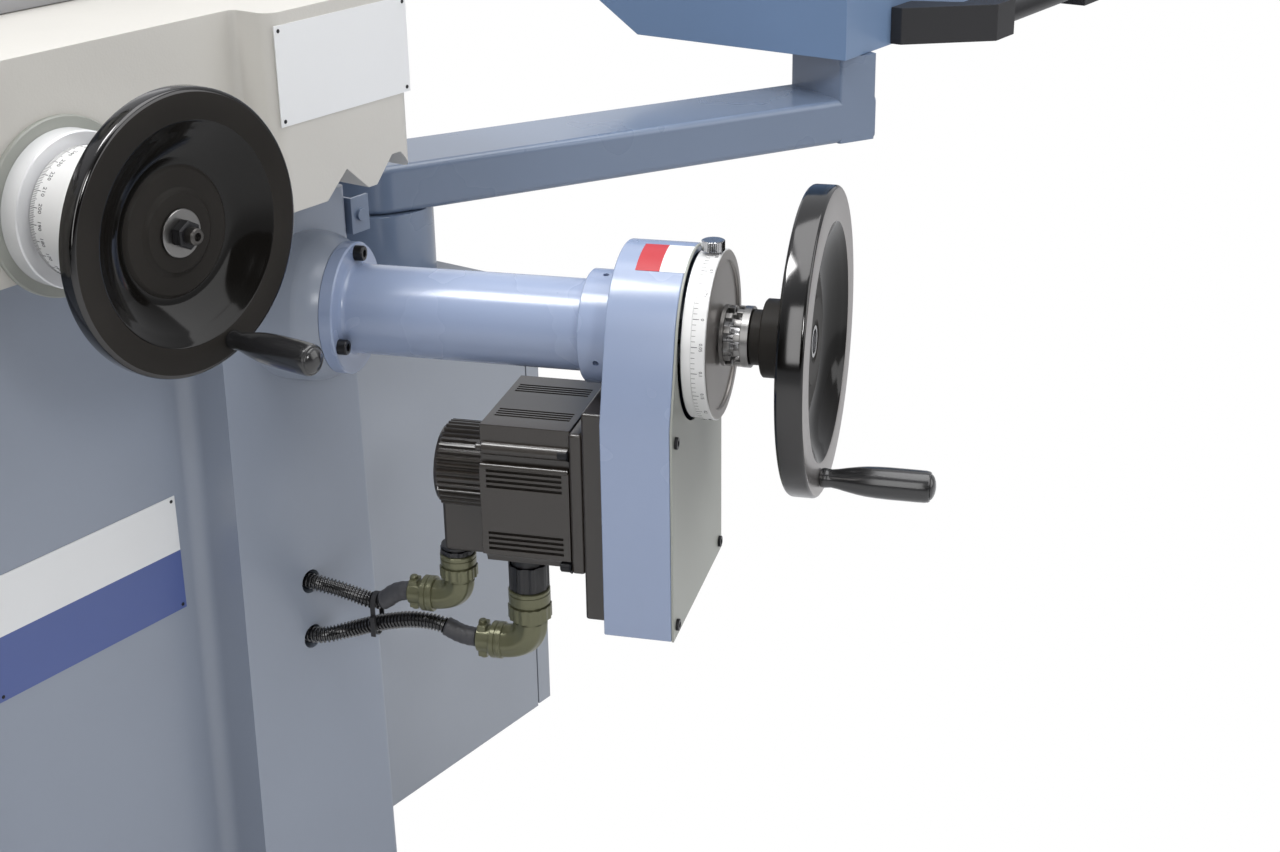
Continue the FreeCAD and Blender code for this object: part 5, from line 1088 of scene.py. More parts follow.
def number(text: str, place: Place, radius: float, angle: float, middle: float,
           height: float) -> bpy.types.Object:
    """A plain number wrapped round a drum, read along its circumference.

    Args:
        text: The number.
        place: Place of the drum.
        radius: Radius of the drum, in mm.
        angle: Where it stands on the drum, in degrees.
        middle: Distance out of its middle, in mm.
        height: Height of its figures, in mm.

    Returns:
        The new piece.
    """
    deselect()
    bpy.ops.object.text_add(location=(0, 0, 0))
    piece = bpy.context.object
    piece.data.body = text
    piece.data.align_x = "CENTER"
    piece.data.align_y = "CENTER"
    piece.data.size = height * 1.35 * MM
    piece.data.extrude = 0.06 * MM
    piece.data.resolution_u = 2
    bpy.ops.object.convert(target="MESH")
    piece = bpy.context.object
    piece.name = "dial_number"
    lift = (radius + 0.04) * MM
    for vertex in piece.data.vertices:
        x, y, z = vertex.co
        turn = math.radians(angle) + x / (radius * MM)
        vertex.co = ((lift + z) * -math.sin(turn), (lift + z) * math.cos(turn), middle * MM + y)
    return seat(piece, place.spindle())


@dataclass
class Dial:
    """Graduated drum with filled lines and plain numbers."""

    label: str
    place: Place
    body: str
    node: str
    profile: list[Point]
    radius: float
    divisions: int
    line_start: float
    line_short: float
    line_long: float
    number_middle: float
    number_height: float
    values: list[str]
    first_angle: float = 0.0
    direction: int = -1
    dark_face: float = 0.0

    def build(self, machine: Machine) -> None:
        """Turns the drum and sets its lines and numbers.

        Args:
            machine: The machine that takes the pieces.
        """
        drum = machine.turned(self.label + "_drum", self.profile, self.place.spindle(),
                              in_place(SCALE_METAL, self.place, self.label), self.body, self.node, steps=128)
        if self.dark_face:
            zone(drum, in_place(DIAL_FACE, self.place, self.label + "_face"),
                 lambda out, radius: radius < self.dark_face and out > self.line_start, self.place.spindle())
        ticks = []
        every = self.divisions // len(self.values)
        for index in range(self.divisions):
            angle = self.first_angle + self.direction * 360 * index / self.divisions
            major = index % every == 0
            middle = every > 4 and index % every == every // 2 and every % 2 == 0
            reach = self.line_long if major else self.line_short
            if middle:
                reach = (self.line_short + self.line_long) / 2
            ticks.append(tick(self.place, self.radius, angle, self.line_start, self.line_start + reach,
                              0.45 if major else 0.3))
            if major:
                text = self.values[index // every]
                ticks.append(number(text, self.place, self.radius, angle, self.number_middle,
                                    self.number_height))
        machine.fix(dress(join(ticks, self.label + "_graduation"), FILLED_LINE), self.body)


@dataclass
class CrossFeed:
    """Ring, drum, dial, handwheel, nut and stud on the saddle front."""

    ring: float = 65.6
    drum: float = 57.0
    dial: float = 47.7
    reach: float = 131.0
    washer: float = 17.0

    def build(self, machine: Machine) -> None:
        """Makes the pieces of the cross feed.

        Args:
            machine: The machine that takes the pieces.
        """
        axis, dial = CROSS.spindle(), self.dial
        machine.turned("cross_ring", [(0.15, 30), (0.15, self.ring), (3.0, self.ring), (4, self.ring - 1.0),
                                      (4, 30)], axis, COVER_GREEN, "saddle", "cross_flange", steps=128)
        machine.turned("cross_drum_turned", [
            (4, 30), (4, self.drum - 0.8), (4.6, self.drum), (20, self.drum), (21, self.drum - 1), (21, 30)],
            axis, in_place(BRIGHT_ALLOY, CROSS, "cross_drum"), "saddle", "cross_drum", steps=128)
        profile = [(22.2, 9.3), (22.2, 46.2), (23.0, 47.0), (23.4, dial), (69.5, dial), (71.2, 46.4),
                   (72.2, 45.4), (72.2, 9.3)]
        Dial("cross", CROSS, "cross_feed", "cross_dial", profile, radius=dial, divisions=250,
             line_start=23.6, line_short=4.0, line_long=7.0, number_middle=33.5, number_height=3.6,
             values=[str(value) for value in range(0, 250, 10)]).build(machine)
        Handwheel("cross", CROSS, "cross_feed", "cross_grip", face=self.reach, radius=100, rim=16, band=22.4,
                  disc=45, disc_sink=13, boss=28.6, boss_sink=10.5, bore=9, hub=26, hub_back=58.5,
                  grip_angle=-71.7, grip_orbit=87.5, grip_length=78, grip_radius=11.6).build(machine)
        self.nut(machine)

    def nut(self, machine: Machine) -> None:
        """Makes the washer, the hexagon nut and the socket-headed stud end.

        Args:
            machine: The machine that takes the pieces.
        """
        axis, low, washer = CROSS.spindle(), self.reach - 10.5, self.washer
        machine.turned("cross_washer", [
            (low, 6.2), (low, washer - 0.5), (low + 0.5, washer), (low + 2, washer),
            (low + 2.5, washer - 0.5), (low + 2.5, 6.2)],
            axis, in_place(STEEL_TURNED, CROSS, "washer"), "cross_feed", "cross_hub_nut")
        nut = lathe("cross_nut", [(low + 2.5, 5.9), (low + 2.5, 10.5), (low + 9.6, 10.5), (low + 10.5, 9.2),
                                  (low + 10.5, 5.9)], 6)
        soften(nut, 0.5, 2, 20)
        machine.take(seat(nut, axis), DARK_STEEL, "cross_feed")
        machine.turned("cross_stud", [
            (low, 0), (low, 5.95), (low + 16.6, 5.95), (low + 17.5, 5.0), (low + 17.5, 3.0),
            (low + 13.5, 2.9), (low + 13.5, 0)], axis, WORN_STEEL, "cross_feed", steps=36)


def cap_screw(label: str, place: Place, side: float, rise: float, seat_out: float, head: float, height: float,
              turn: float = 0.0) -> bpy.types.Object:
    """Socket-headed cap screw: a rounded head with a hexagonal socket.

    Args:
        label: The object's name.
        place: Place that it belongs to.
        side: Distance to the right of the place's axis, in mm.
        rise: Height above that axis, in mm.
        seat_out: Distance out of the face under its head, in mm.
        head: Radius of its head, in mm.
        height: Height of its head, in mm.
        turn: Turn of its socket, in degrees.

    Returns:
        The new piece.
    """
    top = seat_out + height
    body = lathe(label, [
        (seat_out - 6, 0), (seat_out - 6, head * 0.55), (seat_out, head * 0.55), (seat_out, head),
        (seat_out + height * 0.86, head), (top, head * 0.9), (top, 0)], 40)
    low = seat_out + height * 0.45
    key = lathe(label + "_key", [(low, 0), (low, head * 0.56), (top + 1, head * 0.56), (top + 1, 0)], 6)
    carve(body, [key])
    smooth(body, CUT_ANGLE)
    return seat(body, place.spindle(side, rise) @ Matrix.Rotation(math.radians(turn), 4, "Z"))


@dataclass
class DownFeedArm:
    """Boss, flange, tube, collar, belt housing and its cover on the base's right front."""

    flange: float = 56.0
    tube: float = 38.0
    collar: float = 47.0
    start: float = 284.0
    depth: float = 57.0
    half: float = 91.0
    top: float = 73.0
    slope: float = 16.54
    drop: float = 236.0

    def outline(self, inset: float) -> list[Point]:
        """Housing outline: round top, straight shoulders, flat foot.

        Args:
            inset: How far inside the outer wall it runs, in mm.

        Returns:
            Its points, in mm from the tube's axis.
        """
        radius, half = self.top - inset, self.half - inset
        slope = math.radians(self.slope)
        bend = radius * math.sin(slope) - (half - radius * math.cos(slope)) / math.tan(slope)
        low = inset - self.drop
        return arc((0, 0), radius, self.slope, 180 - self.slope, 40) + [
            (-half, bend), (-half, low), (half, low), (half, bend)]

    def build(self, machine: Machine) -> None:
        """Makes the arm's fixed pieces and their screws.

        Args:
            machine: The machine that takes the pieces.
        """
        self.tube_and_collar(machine)
        self.housing(machine)
        self.screws(machine)

    def tube_and_collar(self, machine: Machine) -> None:
        """Makes the flanged tube and the split collar that clamps the housing to it.

        Args:
            machine: The machine that takes the pieces.
        """
        end = self.start - 0.3
        machine.turned("feed_tube_turned", [
            (36, 33), (36, self.flange - 0.8), (36.8, self.flange), (46.8, self.flange),
            (48, self.flange - 1.2), (48, 44), (48.4, 41.5), (49.4, 39.4), (51, 38.4), (53, self.tube),
            (end, self.tube), (end, 33)], FEED.spindle(), FEED_BLUE, "frame", "feed_tube", steps=128)
        collar = lathe("collar_turned", [
            (254, 38.3), (254, 46), (255, self.collar), (283, self.collar), (284, 46.4), (284, 38.3)], 128)
        holes = []
        for angle in (98, 200):
            hole = lathe("set_hole", [(36, 0), (36, 2.6), (60, 2.6), (60, 0)], 24)
            lie = Matrix.Translation((0, 0, 0.269)) @ Matrix.Rotation(math.radians(angle - 90), 4, "Z")
            holes.append(seat(hole, lie @ Matrix.Rotation(math.radians(-90), 4, "X")))
        smooth(carve(collar, holes), CUT_ANGLE)
        machine.take(seat(collar, FEED.spindle()), FEED_BLUE, "frame", "tube_collar")

    def housing(self, machine: Machine) -> None:
        """Makes the belt housing and its cover plate.

        Args:
            machine: The machine that takes the pieces.
        """
        start, front = self.start, self.start + self.depth
        case = slab("housing_case", self.outline(0), start, front, 1.2, 3)
        tools = [slab("housing_room", self.outline(7), start + 6, front + 1)]
        for name, radius, fall in (("housing_hole", 18, 0), ("housing_low_hole", 17.5, -0.135)):
            hole = lathe(name, [(start - 2, 0), (start - 2, radius), (start + 8, radius), (start + 8, 0)], 48)
            tools.append(seat(hole, Matrix.Translation((0, fall, 0))))
        smooth(carve(case, tools), CUT_ANGLE)
        machine.take(seat(case, FEED.spindle()), FEED_BLUE, "frame", "gear_housing")
        cover = slab("cover_plate", self.outline(0), front + 0.05, front + 2)
        hole = lathe("cover_hole", [(front - 1, 0), (front - 1, 71.0), (front + 4, 71.0), (front + 4, 0)],
                     160)
        soften(carve(cover, [hole]), 0.35, 2, 40)
        machine.take(seat(cover, FEED.spindle()), COVER_GREEN, "frame", "housing_cover")

    def screws(self, machine: Machine) -> None:
        """Makes the flange's and the cover's screws.

        Args:
            machine: The machine that takes the pieces.
        """
        screws = []
        for index, angle in enumerate((84, 204, 324)):
            side, rise = 47.5 * math.cos(math.radians(angle)), 47.5 * math.sin(math.radians(angle))
            screws.append(cap_screw("flange_screw_%d" % index, FEED, side, rise, 48, 6.5, 8, 15 * index))
        front = self.start + self.depth + 2
        for side in (-1, 1):
            for rise in (-64, 11 - self.drop):
                screws.append(cap_screw("cover_screw", FEED, side * 80, rise, front, 5, 2.6, 10))
        machine.take(join(screws, "cap_screws_finished"), DARK_STEEL, "frame", "cap_screws")


@dataclass
class DownFeedHead:
    """Dial with its thumb screw, dog clutch, and handwheel of the down feed."""

    dial: float = 69.5
    back: float = 344.5
    front: float = 365.0
    teeth: int = 12
    knurls: int = 36

    def build(self, machine: Machine) -> None:
        """Makes the turning pieces of the down feed.

        Args:
            machine: The machine that takes the pieces.
        """
        back, front, dial = self.back, self.front, self.dial
        profile = [
            (front - 2, 10.3), (front - 2, 60), (front - 0.4, 60.6), (front, 61.2), (front, dial - 1.6),
            (front - 0.5, dial - 0.8), (front - 1.2, dial), (front - 12, dial), (front - 12.4, dial - 0.9),
            (front - 12.8, dial - 1.2), (back + 0.6, dial - 1.2), (back, dial - 1.8), (back, 60.5),
            (back + 9, 60.5), (back + 9, 10.3)]
        Dial("down", FEED, "feed_drive", "down_dial", profile, radius=dial, divisions=100,
             line_start=front - 11.9, line_short=3.2, line_long=5.0, number_middle=front - 4.2,
             number_height=2.9, values=["%g" % (value / 20) for value in range(20)], first_angle=61.2,
             direction=1, dark_face=dial - 0.5).build(machine)
        self.thumb_screw(machine)
        self.clutch(machine)
        # The down wheel's front band carries the painted reflection
        Handwheel("down", FEED, "down_wheel", "down_grip", face=451, radius=125, rim=22, band=28, disc=56,
                  disc_sink=15, boss=36, boss_sink=12, bore=13.05, hub=32, hub_back=52, grip_angle=-107.8,
                  grip_orbit=108.5, grip_length=88, grip_radius=13, sleeve=22.5, sleeve_back=62,
                  seat_bore=20, worn=True).build(machine)

    def thumb_screw(self, machine: Machine) -> None:
        """Makes the knurled lock screw on the dial's rim.

        Args:
            machine: The machine that takes the pieces.
        """
        points = []
        for index in range(2 * self.knurls):
            radius = 9.5 if index % 2 else 8.9
            turn = math.pi * index / self.knurls
            points.append((radius * math.cos(turn), radius * math.sin(turn)))
        head = slab("thumb_head", points, 71.2, 79.0)
        cap = lathe("thumb_cap", [(78.9, 0), (78.9, 8.6), (79.4, 8.4), (79.5, 7.8), (79.5, 0)], 48)
        stem = lathe("thumb_stem", [(69.6, 0), (69.6, 4.5), (71.3, 4.5), (71.3, 0)], 32)
        screw = join([head, cap, stem], "thumb_screw")
        outward(screw)
        smooth(screw, 20)
        seat(screw, FEED.matrix() @ Matrix.Translation((0, -0.356, 0)))
        machine.take(screw, STEEL, "dial_lock", "dial_lock_screw")

    def clutch(self, machine: Machine) -> None:
        """Makes the two toothed rings that face each other.

        Args:
            machine: The machine that takes the pieces.
        """
        for node, body, ring, tip, bore, offset in (
                ("dial_clutch_ring", "feed_drive", (365, 369), 374, 10.3, 0),
                ("wheel_clutch_ring", "down_wheel", (389, 382), 377, 13.3, 15)):
            low, high = min(ring), max(ring)
            teeth = [lathe(node + "_ring", [(low, bore), (low, 24.5), (low + 0.5, 25), (high - 0.5, 25),
                                            (high, 24.5), (high, bore)], 96)]
            for index in range(self.teeth):
                middle = offset + 360 / self.teeth * index
                start, end = middle - 6.75, middle + 6.75
                outline = arc((0, 0), 19.5, start, end, 2) + arc((0, 0), 24.7, end, start, 4)
                start, end = sorted((ring[1] + (-0.3 if tip > ring[1] else 0.3), tip))
                teeth.append(slab("dog", outline, start, end, 0.4, 2))
            piece = seat(join(teeth, node + "_milled"), FEED.spindle())
            machine.take(piece, in_place(STEEL_TURNED, FEED, "clutch"), body, node)


@dataclass
class Servo:
    """Servo motor with its adapter plate, tie rods, screws and encoder cover."""

    half: float = 63.0
    axis: float = -135.0
    back: float = 172.0
    flange: float = 249.0
    front: float = 261.0
    groove: float = 11.0
    channel_deep: float = 6.0
    channel_tall: float = 36.0
    rod_fall: float = 20.3
    slot_rows: tuple[float, float] = (17.5, -39.0)

    def build(self, machine: Machine) -> None:
        """Makes the motor, its adapter and its encoder cover.

        Args:
            machine: The machine that takes the pieces.
        """
        plate = slab("adapter_plate", [(-65, -238), (65, -238), (65, -52), (-65, -52)], self.front, 283.9,
                     2.5, 3)
        machine.take(seat(plate, FEED.spindle()), MOTOR_BLACK, "frame", "motor_adapter")
        self.motor(machine)
        self.encoder(machine)

    def motor(self, machine: Machine) -> None:
        """Makes the flange, the body with its cooling slots and rods, and the screws in the corners.

        Args:
            machine: The machine that takes the pieces.
        """
        half, axis, top = self.half, self.axis, self.axis + self.half
        flange = slab("motor_flange", [(-half, axis - half), (half, axis - half), (half, top), (-half, top)],
                      self.flange, self.front, 3.0, 3)
        deep, low = half - self.channel_deep, top - self.channel_tall
        outline = [(half, low), (deep, low), (deep, top), (-deep, top), (-deep, low), (-half, low)]
        for side, begin in ((-1, 0), (1, 90)):
            centre = (side * (half + 1.0), axis - half - 1.0)
            outline += arc(centre, self.groove + 1.0, begin + 85.2, begin + 4.8, 8)
        body = slab("motor_body", outline, self.back, self.flange + 0.05, 0.8, 2)
        smooth(carve(body, [self.slots()]), CUT_ANGLE)
        screws, rods = [], []
        for side in (-1, 1):
            rods += self.tie_rod(side)
            for rise in (-half + 4.4, half - self.rod_fall):
                screw = lathe("motor_screw", [(239, 0), (239, 3.6), (240, 4.6), (247, 4.6), (249, 5.6),
                                              (249, 0)], 32)
                shift = Matrix.Translation((side * (half - 4.4) * MM, (axis + rise) * MM, 0))
                screws.append(seat(screw, shift))
        motor = seat(join([body, flange] + rods, "servo_motor_finished"), FEED.spindle())
        machine.take(motor, MOTOR_BLACK, "frame", "servo_motor")
        machine.take(seat(join(screws, "motor_screws"), FEED.spindle()), DARK_STEEL, "frame")

    def slots(self) -> bpy.types.Object:
        """Cutter for the rows of cooling slots on the motor's sides and top.

        Returns:
            All slots as one object.
        """
        slots = []
        near, far, top = self.back + 6, 243, self.axis + self.half
        for offset in (4.7 * (index - 1.5) for index in range(4)):
            for height in (self.axis + row + offset for row in self.slot_rows):
                for side in (-self.half, self.half):
                    slots.append(block("side_slot", (side - 3.2, height - 1.3, near),
                                       (side + 3.2, height + 1.3, far)))
            for middle in (offset - 28, offset + 28):
                slots.append(block("top_slot", (middle - 1.3, top - 3.2, near),
                                   (middle + 1.3, top + 3.2, far)))
        return join(slots, "motor_slots")

    def tie_rod(self, side: int) -> list[bpy.types.Object]:
        """Tie rod in a corner channel of the motor, and the rounded lip under it.

        Args:
            side: -1 for the left channel, 1 for the right one.

        Returns:
            The rod, with its end boss, and the lip.
        """
        back = self.back
        rod = lathe("tie_rod", [
            (back - 3.5, 0), (back - 3.5, 2.6), (back - 2.8, 3.4), (back + 1.5, 3.4), (back + 2, 5.2),
            (back + 2.8, 5.8), (248, 5.8), (248, 0)], 40)
        top = self.axis + self.half
        seat(rod, Matrix.Translation((side * (self.half - 6.0) * MM, (top - self.rod_fall) * MM, 0)))
        lip = lathe("channel_lip", [
            (back + 0.4, 0), (back + 0.4, 2.2), (back + 1, 2.8), (248, 2.8), (248, 0)], 32)
        seat(lip, Matrix.Translation((side * (self.half - 3.1) * MM,
                                      (top - self.channel_tall + 0.4) * MM, 0)))
        return [rod, lip]

    def encoder(self, machine: Machine) -> None:
        """Makes the round ribbed cover with its square connector housing.

        Args:
            machine: The machine that takes the pieces.
        """
        drum = fluted("encoder_ridges", 38, 2.8, 40, 124, self.back + 0.3)
        cap = lathe("encoder_cap", [
            (120, 0), (120, 32), (120.6, 34), (122, 34.8), (124.2, 35.2), (124.2, 0)], 88)
        drum = seat(join([drum, cap], "encoder_drum"), Matrix.Translation((0, self.axis * MM, 0)))
        foot = slab("encoder_block", [(-27, self.axis - 71), (27, self.axis - 71), (27, self.axis),
                                      (-27, self.axis)], 124, self.back + 0.3, 3.5, 4)
        cover = join([drum, foot], "encoder_finished")
        smooth(cover, CUT_ANGLE)
        machine.take(seat(cover, FEED.spindle()), MOTOR_BLACK, "frame", "encoder_cover")


# Points that each conduit is drawn to: to the side, across and above, in mm from the tube's axis
CONDUIT_ROUTES = {
    "encoder_conduit": [(-11.8, 28, -254.8), (-19.6, 7.4, -254.8), (-10, -20, -265.5), (-10, -54, -275.7),
                        (-10, -71, -259), (-10, -82.3, -259)],
    "power_conduit": [(-15, 29.3, -308.9), (-24.2, 5, -308.9), (-10, -20, -306), (-10, -52, -294),
                      (-10, -84, -286.5), (-10, -112, -288), (-10, -131, -298), (-10, -143.2, -298)],
}


class Route:
    """Smooth line of a conduit: a NURBS spline whose control points are the route's own points."""

    def __init__(self, name: str, points: Sequence[Sequence[float]]) -> None:
        """Lays the spline and reads the points that it goes through, in the row frame.

        Args:
            name: The line's name.
            points: Control points in the down feed's place, in mm.
        """
        curve = bpy.data.curves.new(name, "CURVE")
        curve.dimensions = "3D"
        curve.resolution_u = 24
        spline = curve.splines.new("NURBS")
        spline.points.add(len(points) - 1)
        for spot, point in zip(spline.points, points):
            spot.co = (*(FEED.matrix() @ (Vector(point) * MM)), 1)
        spline.order_u = 3
        spline.use_endpoint_u = True
        line = bpy.data.objects.new(name, curve)
        mesh = bpy.data.meshes.new_from_object(line)
        self.points = [vertex.co.copy() for vertex in mesh.vertices]
        bpy.data.objects.remove(line)
        bpy.data.curves.remove(curve)
        bpy.data.meshes.remove(mesh)
        self.steps = [(end - start).length for start, end in zip(self.points, self.points[1:])]
        self.length = sum(self.steps)

    def at(self, along: float) -> tuple[Vector, Vector]:
        """Place and direction at a distance along the line, in metres.

        Args:
            along: The distance.

        Returns:
            The place and the direction.
        """
        for index, step in enumerate(self.steps):
            if along <= step or index == len(self.steps) - 1:
                break
            along -= step
        start, end = self.points[index], self.points[index + 1]
        before = self.points[max(0, index - 1)]
        after = self.points[min(len(self.points) - 1, index + 2)]
        share = along / step
        ahead = (end - before).lerp(after - start, min(1, max(0, share)))
        return start.lerp(end, share), ahead.normalized()

    def lay(self, piece: bpy.types.Object) -> bpy.types.Object:
        """Bends a straight turned piece so that its own Z axis follows the line.

        Args:
            piece: The mesh.

        Returns:
            The same piece.
        """
        across = FEED.matrix().to_3x3() @ Vector((1, 0, 0))
        for vertex in piece.data.vertices:
            spot, ahead = self.at(vertex.co.z)
            side = (across - ahead * ahead.dot(across)).normalized()
            rise = ahead.cross(side)
            vertex.co = spot + side * vertex.co.x + rise * vertex.co.y
        outward(piece)
        return smooth(piece, SWEPT_ANGLE)


@dataclass
class Wiring:
    """The ribbed conduits, their shrunk sleeves and both angled connectors."""

    crest: float = 7.6
    root: float = 5.9
    pitch: float = 3.3
    sleeve: float = 8.8
    sleeve_length: float = 30.0

    def build(self, machine: Machine) -> None:
        """Makes both lines and their connectors.

        Args:
            machine: The machine that takes the pieces.
        """
        sleeves = []
        for node, points in CONDUIT_ROUTES.items():
            route = Route(node + "_line", points)
            conduit = self.conduit(node, route)
            machine.take(conduit, CONDUIT_BLACK, "frame", node)
            sleeves.append(self.shrunk_sleeve(node, route))
        machine.take(join(sleeves, "sleeves_shrunk"), SLEEVE_GREY, "frame", "conduit_sleeves")
        Connector("encoder_connector", out=130, top=-206.3, radius=16.5, socket=9, nut=22, fall=52.7,
                  ring=16).build(machine)
        Connector("power_connector", out=194, top=-198.3, radius=19, socket=44, nut=28, fall=99.7,
                  ring=16.5).build(machine)

    def conduit(self, node: str, route: Route) -> bpy.types.Object:
        """Corrugated tube: every rib has a round crest and a narrow root.

        Args:
            node: CAD node of the conduit.
            route: The line that it follows.

        Returns:
            The new piece.
        """
        length = route.length / MM
        ribs = round(length / self.pitch)
        pitch = length / ribs
        rib = ((0, self.root), (0.22, self.root), (0.34, self.crest - 0.5), (0.48, self.crest),
               (0.66, self.crest), (0.80, self.crest - 0.5), (0.92, self.root))
        rows = [(0, 0)]
        for index in range(ribs):
            rows += [(pitch * index + pitch * share, radius) for share, radius in rib]
        rows += [(length, self.root), (length, 0)]
        return route.lay(lathe(node + "_ribbed", rows, 40))

    def shrunk_sleeve(self, node: str, route: Route) -> bpy.types.Object:
        """Shrunk sleeve over the end of a conduit, with the ribs faintly drawn through.

        Args:
            node: CAD node of the conduit.
            route: The line that it follows.

        Returns:
            The new piece.
        """
        length = route.length / MM
        start, radius = length - self.sleeve_length, self.sleeve - 0.3
        rows = [(start, 0), (start, self.crest - 0.6), (start + 0.6, self.sleeve - 0.5)]
        rows += [(start + index * 1.75, radius + 0.25 * math.sin(math.pi * 2 * index / 3.2))
                 for index in range(1, 17)]
        rows += [(length, radius), (length, 0)]
        return route.lay(lathe(node + "_sleeve", rows, 40))


@dataclass
class Connector:
    """Angled circular connector: moulded socket, fluted coupling nut, elbow and cable clamp."""

    node: str
    out: float
    top: float
    radius: float
    socket: float
    nut: float
    fall: float
    ring: float
    side: float = -10.0
    flutes: int = 16

    def build(self, machine: Machine) -> None:
        """Makes the socket in black and the metal pieces in olive.

        Args:
            machine: The machine that takes the pieces.
        """
        neck, bore, plug = self.radius * 0.72, self.radius * 0.86, self.socket
        upright = Matrix.Translation(FEED.point(self.side, self.out, self.top))
        low = -plug - self.nut
        shell = lathe(self.node + "_shell", [
            (low - 5, 0), (low - 5, neck), (low - 4.4, neck + 1.0), (low - 1.4, neck + 1.0),
            (low - 0.8, neck + 0.2), (low, neck + 0.2), (low, 0)], 64)
        nut = self.coupling(low, -plug)
        elbow = self.bend(neck + 1.4, low)
        arm = self.arm(neck)
        for piece in (shell, nut):
            seat(piece, upright)
        metal = join([shell, nut, elbow, arm], self.node + "_metal")
        machine.take(metal, OLIVE, "frame", self.node)
        socket = lathe(self.node + "_socket", [
            (-plug - 1, 0), (-plug - 1, bore - 1), (-plug + 0.4, bore - 1), (-plug + 0.4, bore),
            (-plug * 0.45, bore), (-plug * 0.45, bore - 1.6), (-plug * 0.3, bore - 1.6),
            (-plug * 0.3, bore), (-0.05, bore), (-0.05, 0)], 48)
        fins = fluted(self.node + "_fins", bore + 1.6, 2.0, 9, -plug + 1.5, -plug * 0.45)
        socket = seat(join([socket, fins], self.node + "_socket"), upright)
        machine.take(socket, BLACK_PLASTIC, "frame")

    def coupling(self, low: float, high: float) -> bpy.types.Object:
        """Coupling nut: a plain band, a groove and a thicker band with shallow grip notches.

        Args:
            low: Its lower end, in mm.
            high: Its upper end, in mm.

        Returns:
            The new piece.
        """
        split = low + (high - low) * 0.45
        root, groove, band = self.radius - 2.4, self.radius - 1.2, self.radius - 0.6
        edge = self.radius - 1.4
        body = lathe(self.node + "_band", [
            (split - 0.4, 0), (split - 0.4, root), (split + 1.8, root), (split + 1.8, edge),
            (split + 2.4, band), (high - 4.4, band), (high - 4.2, groove), (high - 3.6, groove),
            (high - 3.4, band), (high - 0.8, band), (high, edge), (high, 0)], 64)
        grip = fluted(self.node + "_flutes", self.radius + 0.2, 0.8, self.flutes, low, split)
        return join([body, grip], self.node + "_nut")

    def bend(self, neck: float, low_nut: float) -> bpy.types.Object:
        """Swept elbow between the coupling nut and the gland ring, with soft ridges along it.

        Args:
            neck: Its radius, in mm.
            low_nut: Lower end of the coupling nut, in mm.

        Returns:
            The new piece.
        """
        end = self.out - neck - 11
        floor = self.top - self.fall
        route = Route(self.node + "_bend", [(self.side, -self.out, self.top + low_nut - 4),
                                            (self.side, -self.out, floor), (self.side, -end, floor)])
        length = route.length / MM
        parts = math.ceil(length / 1.5)
        rows = [(0, 0), (0, neck)] + [(length * part / parts, neck) for part in range(1, parts + 1)]
        swept = lathe(self.node + "_swept", rows + [(length, 0)], 64)
        for vertex in swept.data.vertices:
            swell = 1 + 0.025 * math.cos(8 * math.atan2(vertex.co.y, vertex.co.x))
            vertex.co.x *= swell
            vertex.co.y *= swell
        return route.lay(swept)

    def arm(self, neck: float) -> bpy.types.Object:
        """Level half of the elbow, its gland ring and the cable clamp with two screws.

        Args:
            neck: Its radius, in mm.

        Returns:
            The new piece.
        """
        inner, ring = self.out - neck - 22, self.ring
        axis = FEED.spindle(self.side, self.top - self.fall)
        arm = lathe(self.node + "_level", [
            (inner - 13.5, 0), (inner - 13.5, neck * 0.8), (inner - 12.5, neck * 0.9),
            (inner - 1, neck * 0.9), (inner - 1, neck), (inner, neck), (inner, ring - 0.7),
            (inner + 0.7, ring), (inner + 4.4, ring), (inner + 5.0, ring - 0.9), (inner + 6.0, ring - 0.9),
            (inner + 6.6, ring), (inner + 10.3, ring), (inner + 11, ring - 0.7), (inner + 11, neck),
            (inner + 13, neck), (inner + 13, 0)], 64)
        parts = [seat(arm, axis)]
        for turn in (180, 0):
            lie = axis @ Matrix.Rotation(math.radians(turn), 4, "Z")
            ear = block("ear", (-neck * 0.55, neck * 0.5, inner - 12), (neck * 0.55, neck * 1.12, inner - 4),
                        1.0)
            lug = lathe("lug", [(neck * 0.8, 0), (neck * 0.8, 4.2), (neck * 1.16, 4.2), (neck * 1.16, 3.6),
                                (neck * 1.30, 3.6), (neck * 1.36, 2.8), (neck * 1.36, 0)], 28)
            out = Matrix.Translation((0, 0, (inner - 8.5) * MM))
            seat(lug, out @ Matrix.Rotation(math.radians(-90), 4, "X"))
            parts += [seat(ear, lie), seat(lug, lie)]
        return join(parts, self.node + "_arm")


def rivet(matrix: Matrix, radius: float = 1.6) -> bpy.types.Object:
    """Low domed rivet head.

    Args:
        matrix: Where it sits; its own Z axis points out of the plate.
        radius: Radius of the head, in mm.

    Returns:
        The new piece.
    """
    return seat(lathe("rivet", [
        (-0.4, 0), (-0.4, radius), (0.2, radius), (0.6, radius * 0.75), (0.8, radius * 0.3), (0.82, 0)],
        20), matrix)


